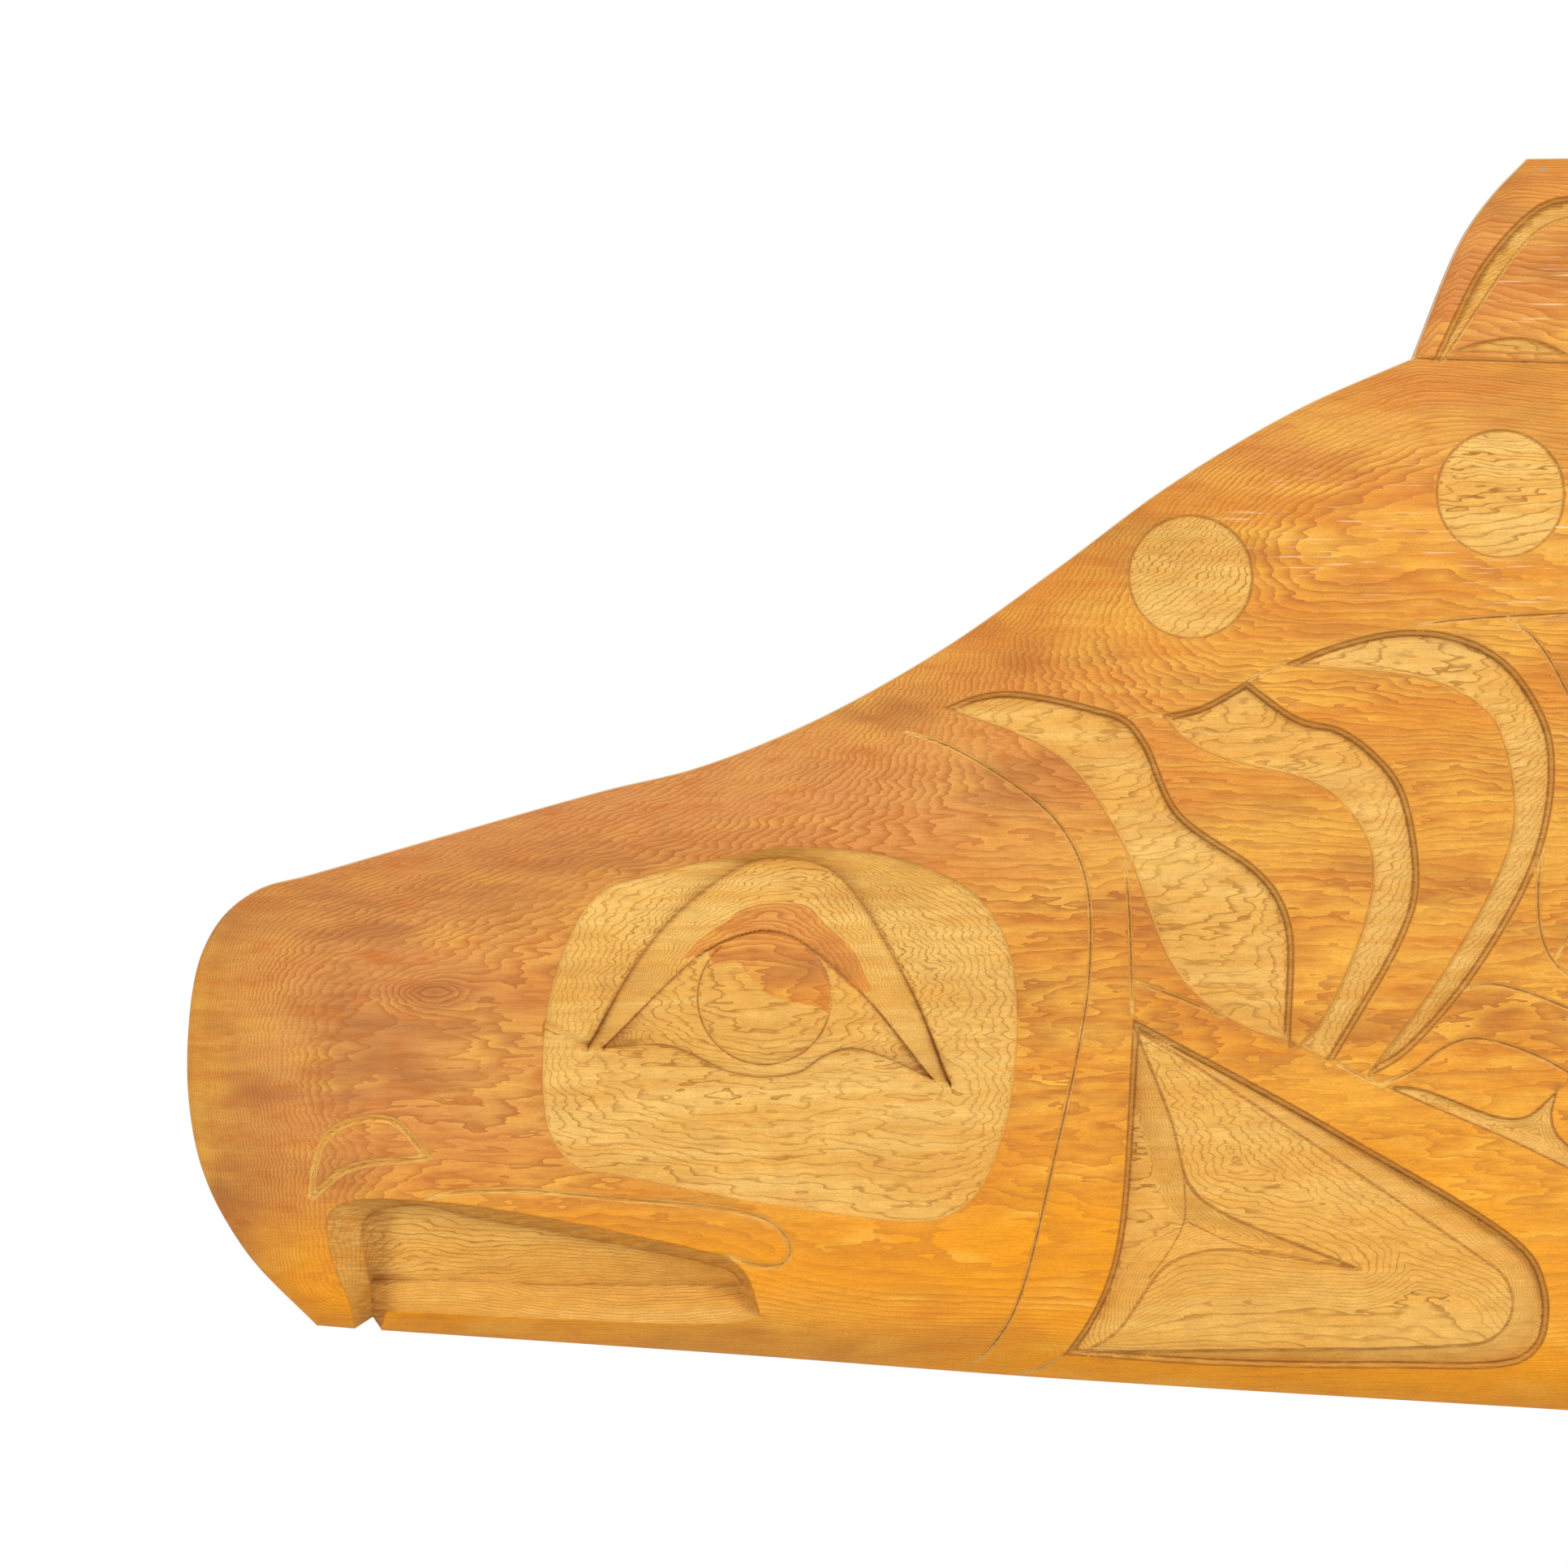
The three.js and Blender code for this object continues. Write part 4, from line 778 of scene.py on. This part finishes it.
class Wire:
    """The output of a node. Sums written with it add Math nodes."""

    def __init__(self, tree, socket):
        self.tree, self.socket = tree, socket

    def maths(self, operation, *values):
        return node(self.tree, "ShaderNodeMath", {"operation": operation},
                    dict(zip(("Value", "Value_001"), values)))

    __add__ = __radd__ = lambda a, b: a.maths("ADD", a, b)
    __mul__ = __rmul__ = lambda a, b: a.maths("MULTIPLY", a, b)
    __sub__ = lambda a, b: a.maths("SUBTRACT", a, b)
    __rsub__ = lambda a, b: a.maths("SUBTRACT", b, a)
    __truediv__ = lambda a, b: a.maths("DIVIDE", a, b)
    __rtruediv__ = lambda a, b: a.maths("DIVIDE", b, a)
    __pow__ = lambda a, b: a.maths("POWER", a, b)
    __rpow__ = lambda a, b: a.maths("POWER", b, a)


def node(tree, kind, settings=None, sockets=None, take=None):
    """Adds a node: its settings first, then its sockets, and takes one output or several."""
    made = tree.nodes.new(kind)
    for name, value in (settings or {}).items():
        setattr(made, name, value)
    for name, value in (sockets or {}).items():
        socket = next(s for s in made.inputs if name in (s.identifier, s.name))
        if isinstance(value, Wire):
            tree.links.new(value.socket, socket)
        else:
            socket.default_value = value
    if isinstance(take, tuple):
        return [Wire(tree, made.outputs[name]) for name in take]
    outputs = [s for s in made.outputs if s.enabled and take in (None, s.name)]
    return Wire(tree, outputs[0]) if outputs else None


def linear(code):
    parts = [int(code[i:i + 2], 16) / 255 for i in (1, 3, 5)]
    return (*[c / 12.92 if c <= 0.04045 else ((c + 0.055) / 1.055) ** 2.4 for c in parts], 1)


SNOUT_TIP_PIXEL, PIXELS_TO_SHARE = (229, 1320), 4.009
PIN_PIXEL, KNOT_PIXEL = (1903, 207), (530, 1222)


def from_picture(pixel):
    """Where a pixel of the photograph lies on the carving, along and up from the hanging point."""
    along, up = pixel[0] - SNOUT_TIP_PIXEL[0], SNOUT_TIP_PIXEL[1] - pixel[1]
    return along / PIXELS_TO_SHARE * SHARE - HANG[0], up / PIXELS_TO_SHARE * SHARE - HANG[1]


RING = 1.2  # one year's growth
PITH_BEHIND, PITH_UP = 320, 10
BENT_BELOW, BENT_ABOVE = -58, 185  # past these heights from the pith the rings bend back
KNOT, KNOT_LENGTH, KNOT_HEIGHT, KNOT_RISE = from_picture(KNOT_PIXEL), 21, 8, 8
PIN, PIN_INSIDE, PIN_OUTSIDE = from_picture(PIN_PIXEL), 0.7, 1.1

GOLD_OIL, TAN_OIL, RED_OIL_AND_SHEEN, HONEY_OIL = "#f6b64a", "#ea9736", "#dd935a", "#fda416"
BARE_WOOD, BARE_TAN, BARE_HONEY = "#f9c86e", "#efb255", "#f3ac40"
OILED_LATE_WOOD, BARE_LATE_WOOD = "#b0622a", "#a56c26"
RAW_WOOD, RAW_LATE_WOOD, SAW_MARK = "#d9b383", "#a87a4c", "#8d6845"
FIBRE, SHADE, BROWN, RUST, GLINT = "#9a5c1c", "#9a5730", "#985c34", "#c4661c", "#ffc14c"
SPECKLE, VARNISH_AND_SHADE, FACET, PALE_STREAKS = "#8f5a20", "#9a6026", "#8f5f2a", "#ffe0bb"
TOP_EDGE_HIGHLIGHT, PIN_GREY = "#f8e2b8", "#8f9a94"

wood = bpy.data.materials.new("oiled_red_cedar")
wood.use_nodes = True
wood.node_tree.nodes.clear()
tree = wood.node_tree


def add(kind, settings=None, sockets=None, take=None):
    return node(tree, kind, settings, sockets, take)


def blend(share, a, b):
    """From colour a to colour b, each a node's output or a code."""
    a, b = (linear(c) if isinstance(c, str) else c for c in (a, b))
    return add("ShaderNodeMix", {"data_type": "RGBA"}, {"Factor_Float": share, "A_Color": a, "B_Color": b})


def ramp(value, low, high):
    return add("ShaderNodeMapRange", {"interpolation_type": "SMOOTHSTEP"},
               {"Value": value, "From Min": low, "From Max": high})


def attribute(name):
    return add("ShaderNodeAttribute", {"attribute_name": name}, take="Fac")


place = add("ShaderNodeTexCoord", take="Object")
mm = add("ShaderNodeVectorMath", {"operation": "SCALE"}, {"Vector": place, "Scale": 1000})
x, y, z = add("ShaderNodeSeparateXYZ", {}, {"Vector": mm}, ("X", "Y", "Z"))


def noise(sizes, detail=2, rough=0.5, shift=0.0):
    """Noise from -0.5 to 0.5 with lumps of the given sizes along, through and up the plank."""
    spread = add("ShaderNodeMapping", {}, {"Vector": mm, "Scale": tuple(1 / s for s in sizes),
                                           "Location": (shift, 0, 0)})
    return add("ShaderNodeTexNoise", {}, {"Vector": spread, "Scale": 1, "Detail": detail,
                                          "Roughness": rough}) - 0.5


pale, varnish_and_shade, deeper, edge, sawn = (attribute(n) for n in ("pale", "varnish_and_shade", "sunk_rings", "edge", "sawn"))
nicks = noise((5, 5, 2.2), 1, 0.5, 29)
pale = ramp(pale + nicks * 0.6, 0.3, 0.62)
red, deep, brown, streaked = (attribute(n) for n in PATCHES)

up = z - (PITH_UP - HANG[1])
out = PITH_BEHIND - y
low, high = BENT_BELOW - up, up - BENT_ABOVE
low, high = low.maths("MAXIMUM", low, 0), high.maths("MAXIMUM", high, 0)
radius = (up * up + out * out) ** 0.5 - deeper - low * low * 0.005 - high * high * 0.0028
slow = noise((240, 160, 110), 1) * 18 + noise((80, 60, 40), 0, 0.5, 7) * 5
calm = 1 - ramp(low, 0, 50) * 0.6 - ramp(high, 10, 60) * 0.4
ruled = noise((32, 30, 6.5), 1, 0.5, 3) * 2.8 + noise((13, 12, 2.7), 1, 0.5, 5) * 1.5
sheltered = ramp(deeper, 6, 10.5)
ruled = ruled * (calm + sheltered)
inwards = 0 - (((x - KNOT[0]) / KNOT_LENGTH) ** 2 + ((z - KNOT[1]) / KNOT_HEIGHT) ** 2)
knot = inwards.maths("EXPONENT", inwards)
years = (radius + slow + ruled + knot * KNOT_RISE) / RING
year = years.maths("FLOOR", years)
through = years.maths("FRACT", years)
kind = add("ShaderNodeTexWhiteNoise", {"noise_dimensions": "1D"}, {"W": year}, take="Value")
loud = ramp(noise((120, 90, 26), 1, 0.5, 23), -0.25, 0.2)
late = through ** 1.6 * (0.28 + kind * 0.38 + loud * 0.5 + red * 0.15 + knot * 0.9)
line = ramp(through, 0.68, 0.98) * (0.4 + kind * 0.4 + loud * 0.3)

fibre = noise((22, 6, 0.7), 3, 0.65, 2)
speckle = noise((1.6, 1.6, 0.7), 1, 0.7, 31)
patch = noise((130, 90, 34), 2, 0.5, 11)
streak = noise((70, 40, 5), 2, 0.5, 13)

oiled = blend(ramp(patch + streak * 0.6, -0.2, 0.2), GOLD_OIL, TAN_OIL)
# Redder oil over the skull, snout and fins, its colour greyed with a painted sheen like that on the head's
# upward faces.
oiled = blend(red * 0.8, oiled, RED_OIL_AND_SHEEN)
oiled = blend(deep * 0.95, oiled, HONEY_OIL)
oiled = blend(late * (0.74 - deep * 0.3), oiled, OILED_LATE_WOOD)
bare = blend(ramp(patch + streak, -0.25, 0.25), BARE_WOOD, BARE_TAN)
bare = blend(deep * 0.38, bare, BARE_HONEY)
bare = blend(line * (0.72 + sheltered * 0.25), bare, BARE_LATE_WOOD)
raw = blend(line * 0.6, RAW_WOOD, RAW_LATE_WOOD)
saw = noise((0.9, 20, 90), 1, 0.6, 71)
raw = blend(ramp(saw, -0.1, 0.3) * 0.25, raw, SAW_MARK)
colour = blend(sawn, blend(pale, oiled, bare), raw)
colour = blend(ramp(fibre, -0.12, 0.32) * 0.3, colour, FIBRE)
broad = ramp(noise((75, 60, 26), 2, 0.55, 37), -0.02, 0.22)
colour = blend(broad * (0.36 + red * 0.16 - pale * 0.26) * (1 - deep * 0.6), colour, SHADE)
dark = brown * (0.35 + ramp(noise((26, 20, 3), 2, 0.5, 51), -0.15, 0.2) * 0.65) * (1 - pale)
colour = blend(dark * 0.75, colour, BROWN)
rust = ramp(noise((24, 18, 6), 2, 0.6, 61), 0.0, 0.26) * (1 - pale) * (0.25 + red * 0.3)
colour = blend(rust, colour, RUST)
glint = ramp(noise((48, 40, 13), 1, 0.5, 41), 0.04, 0.24) * (1 - through)
glint = glint * (1 - red * 0.5) * (1 - sawn)
colour = blend(glint * (0.6 - pale * 0.4), colour, GLINT)
colour = blend(ramp(speckle, -0.3, 0.3) * 0.24, colour, SPECKLE)
# Varnish in the cuts, and painted shade in the mouth and round the eye, darken the colour.
pores = ramp(noise((9, 9, 0.9), 2, 0.6, 17), -0.15, 0.15)
varnish_and_shade_mask = ramp(varnish_and_shade * (0.72 + pores * 0.5), 0.08, 0.95)
colour = blend(varnish_and_shade_mask * 0.8, colour, VARNISH_AND_SHADE)
facets = add("ShaderNodeTexVoronoi", {"feature": "F1"},
             {"Vector": add("ShaderNodeMapping", {}, {"Vector": mm, "Scale": (0.09, 0.09, 0.17)}),
              "Scale": 1})
colour = blend(ramp(facets, 0.3, 0.62) * pale * 0.09, colour, FACET)
# Pale whitish streaks over the oiled face, in a few patches.
pale_streaks = ramp(noise((30, 20, 1.1), 1, 0.5, 43), 0.14, 0.24) * streaked * (1 - pale)
colour = blend(pale_streaks * 0.75, colour, PALE_STREAKS)
# The painted highlight along the top edge.
colour = blend(edge, colour, TOP_EDGE_HIGHLIGHT)
pin = ((x - PIN[0]) ** 2 + (z - PIN[1]) ** 2) ** 0.5
colour = blend(ramp(pin, PIN_OUTSIDE, PIN_INSIDE), colour, PIN_GREY)

relief = through * 0.10 + fibre * 0.16 + facets * facets * pale * 0.9 + saw * sawn * 0.3
bumped = add("ShaderNodeBump", {}, {"Strength": 0.6, "Distance": 0.001, "Height": relief})
shader = add("ShaderNodeBsdfPrincipled", {}, {
    "Base Color": colour,
    "Roughness": 0.5 + pale * 0.16 + sawn * 0.3 + varnish_and_shade * 0.1 + fibre * 0.15,
    "Specular IOR Level": 0.14,
    "Coat Weight": 0.03 - (pale + sawn) * 0.03,
    "Coat Roughness": 0.35,
    "Normal": bumped,
})
add("ShaderNodeOutputMaterial", {}, {"Surface": shader})

# Tool marks: the bent knife leaves shallow scoops over all the hollows. They are pressed into the
# skin where the wood was cut, each scoop deepest in its middle.

SCOOP = {"Depth": 0.0005, "Length": 0.015, "Width": 0.008, "Seed": 4, "Wood": wood}  # in metres

marks = bpy.data.node_groups.new("knife_scoops", "GeometryNodeTree")
for name, kind in (("Geometry", "Geometry"), ("Depth", "Float"), ("Length", "Float"), ("Width", "Float"),
                   ("Seed", "Int"), ("Wood", "Material")):
    marks.interface.new_socket(name, in_out="INPUT", socket_type="NodeSocket" + kind)
marks.interface.new_socket("Geometry", in_out="OUTPUT", socket_type="NodeSocketGeometry")
plain, depth, length, width, seed, wood_in = node(marks, "NodeGroupInput", take=("Geometry", *SCOOP))
spot = node(marks, "GeometryNodeInputPosition")
size = node(marks, "ShaderNodeCombineXYZ", {}, {"X": length, "Y": length, "Z": width})
spot = node(marks, "ShaderNodeVectorMath", {"operation": "DIVIDE"}, {"Vector": spot, "Vector_001": size})
shift = node(marks, "ShaderNodeCombineXYZ", {}, {"X": seed * 7.3, "Z": seed * 3.1})
spot = node(marks, "ShaderNodeVectorMath", {"operation": "ADD"}, {"Vector": spot, "Vector_001": shift})
cell = node(marks, "ShaderNodeTexVoronoi", {"feature": "F1"}, {"Vector": spot, "Scale": 1})
cut_here = node(marks, "GeometryNodeInputNamedAttribute", {"data_type": "FLOAT"}, {"Name": "pale"})
press = depth * (1 - cell * cell * 1.6) * cut_here
push = node(marks, "ShaderNodeCombineXYZ", {}, {"Y": press})
pressed = node(marks, "GeometryNodeSetPosition", {}, {"Geometry": plain, "Offset": push})
whole = node(marks, "GeometryNodeRealizeInstances", {}, {"Geometry": pressed})
done = node(marks, "GeometryNodeSetMaterial", {}, {"Geometry": whole, "Material": wood_in})
node(marks, "NodeGroupOutput", {}, {"Geometry": done})

scoops = salmon.modifiers.new("knife_scoops", "NODES")
scoops.node_group = marks
inputs = {s.name: s.identifier for s in marks.interface.items_tree if s.in_out == "INPUT"}
for name, value in SCOOP.items():
    scoops[inputs[name]] = value
finished = bpy.data.meshes.new_from_object(salmon.evaluated_get(bpy.context.evaluated_depsgraph_get()))
finished.name = "salmon_carved"
salmon.modifiers.clear()
salmon.data = finished
bpy.data.meshes.remove(skin)

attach(salmon, "root")
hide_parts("salmon")

# Studio: the carving is shown as it hangs, seen straight on from far off, over a pale floor. Soft
# light comes from above on the right, weaker from the left, and from the white room.

PICTURE_SIDE, PIXEL = 1932, 0.0004001  # the photograph's side in pixels, and one pixel in metres
CAMERA_BACK, CAMERA_FRONT, SENSOR = 10, 0.05, 36
FLOOR_RADIUS, FLOOR_LEVEL, FLOOR_GREY = 2.4, -1.3, (0.8, 0.8, 0.8, 1)
ROOM_LIGHT = 0.71

centre = from_picture((PICTURE_SIDE / 2, PICTURE_SIDE / 2))
camera = bpy.data.cameras.new("camera")
camera.sensor_width = SENSOR
camera.lens = SENSOR * CAMERA_BACK / (PICTURE_SIDE * PIXEL)
camera.clip_end = 100
camera = bpy.data.objects.new("camera", camera)
camera.location = (centre[0] / 1000, -CAMERA_FRONT - CAMERA_BACK, centre[1] / 1000)
camera.rotation_euler = (math.radians(90), 0, 0)
bpy.context.collection.objects.link(camera)
bpy.context.scene.camera = camera

bpy.ops.mesh.primitive_circle_add(vertices=96, radius=FLOOR_RADIUS, fill_type="NGON",
                                  location=(0, 0, FLOOR_LEVEL))
floor = bpy.context.object
floor.name = "floor"
pale_floor = bpy.data.materials.new("pale_floor")
pale_floor.use_nodes = True
pale_floor.node_tree.nodes.clear()
paint = node(pale_floor.node_tree, "ShaderNodeBsdfPrincipled", {},
             {"Base Color": FLOOR_GREY, "Roughness": 0.8})
node(pale_floor.node_tree, "ShaderNodeOutputMaterial", {}, {"Surface": paint})
floor.data.materials.append(pale_floor)


def light(name, watts, size, spot, aim):
    lamp = bpy.data.lights.new(name, "AREA")
    lamp.energy, lamp.size = watts, size
    lamp = bpy.data.objects.new(name, lamp)
    lamp.location = spot
    lamp.rotation_euler = (Vector(aim) - Vector(spot)).to_track_quat("-Z", "Y").to_euler()
    bpy.context.collection.objects.link(lamp)


light("key", watts=58, size=1.2, spot=(1, -2.8, 1.9), aim=(-0.3, 0, 0))
light("fill", watts=23, size=2.5, spot=(-2.8, -2.4, -0.2), aim=(-0.5, 0, 0))

world = bpy.data.worlds.new("white_room")
bpy.context.scene.world = world
world.use_nodes = True
world.node_tree.nodes.clear()
seen = node(world.node_tree, "ShaderNodeLightPath", take="Is Camera Ray")
sky = node(world.node_tree, "ShaderNodeBackground", {},
           {"Color": (1, 1, 1, 1), "Strength": ROOM_LIGHT + seen * (1 - ROOM_LIGHT)})
node(world.node_tree, "ShaderNodeOutputWorld", {}, {"Surface": sky})
bpy.context.scene.view_settings.view_transform = "Standard"
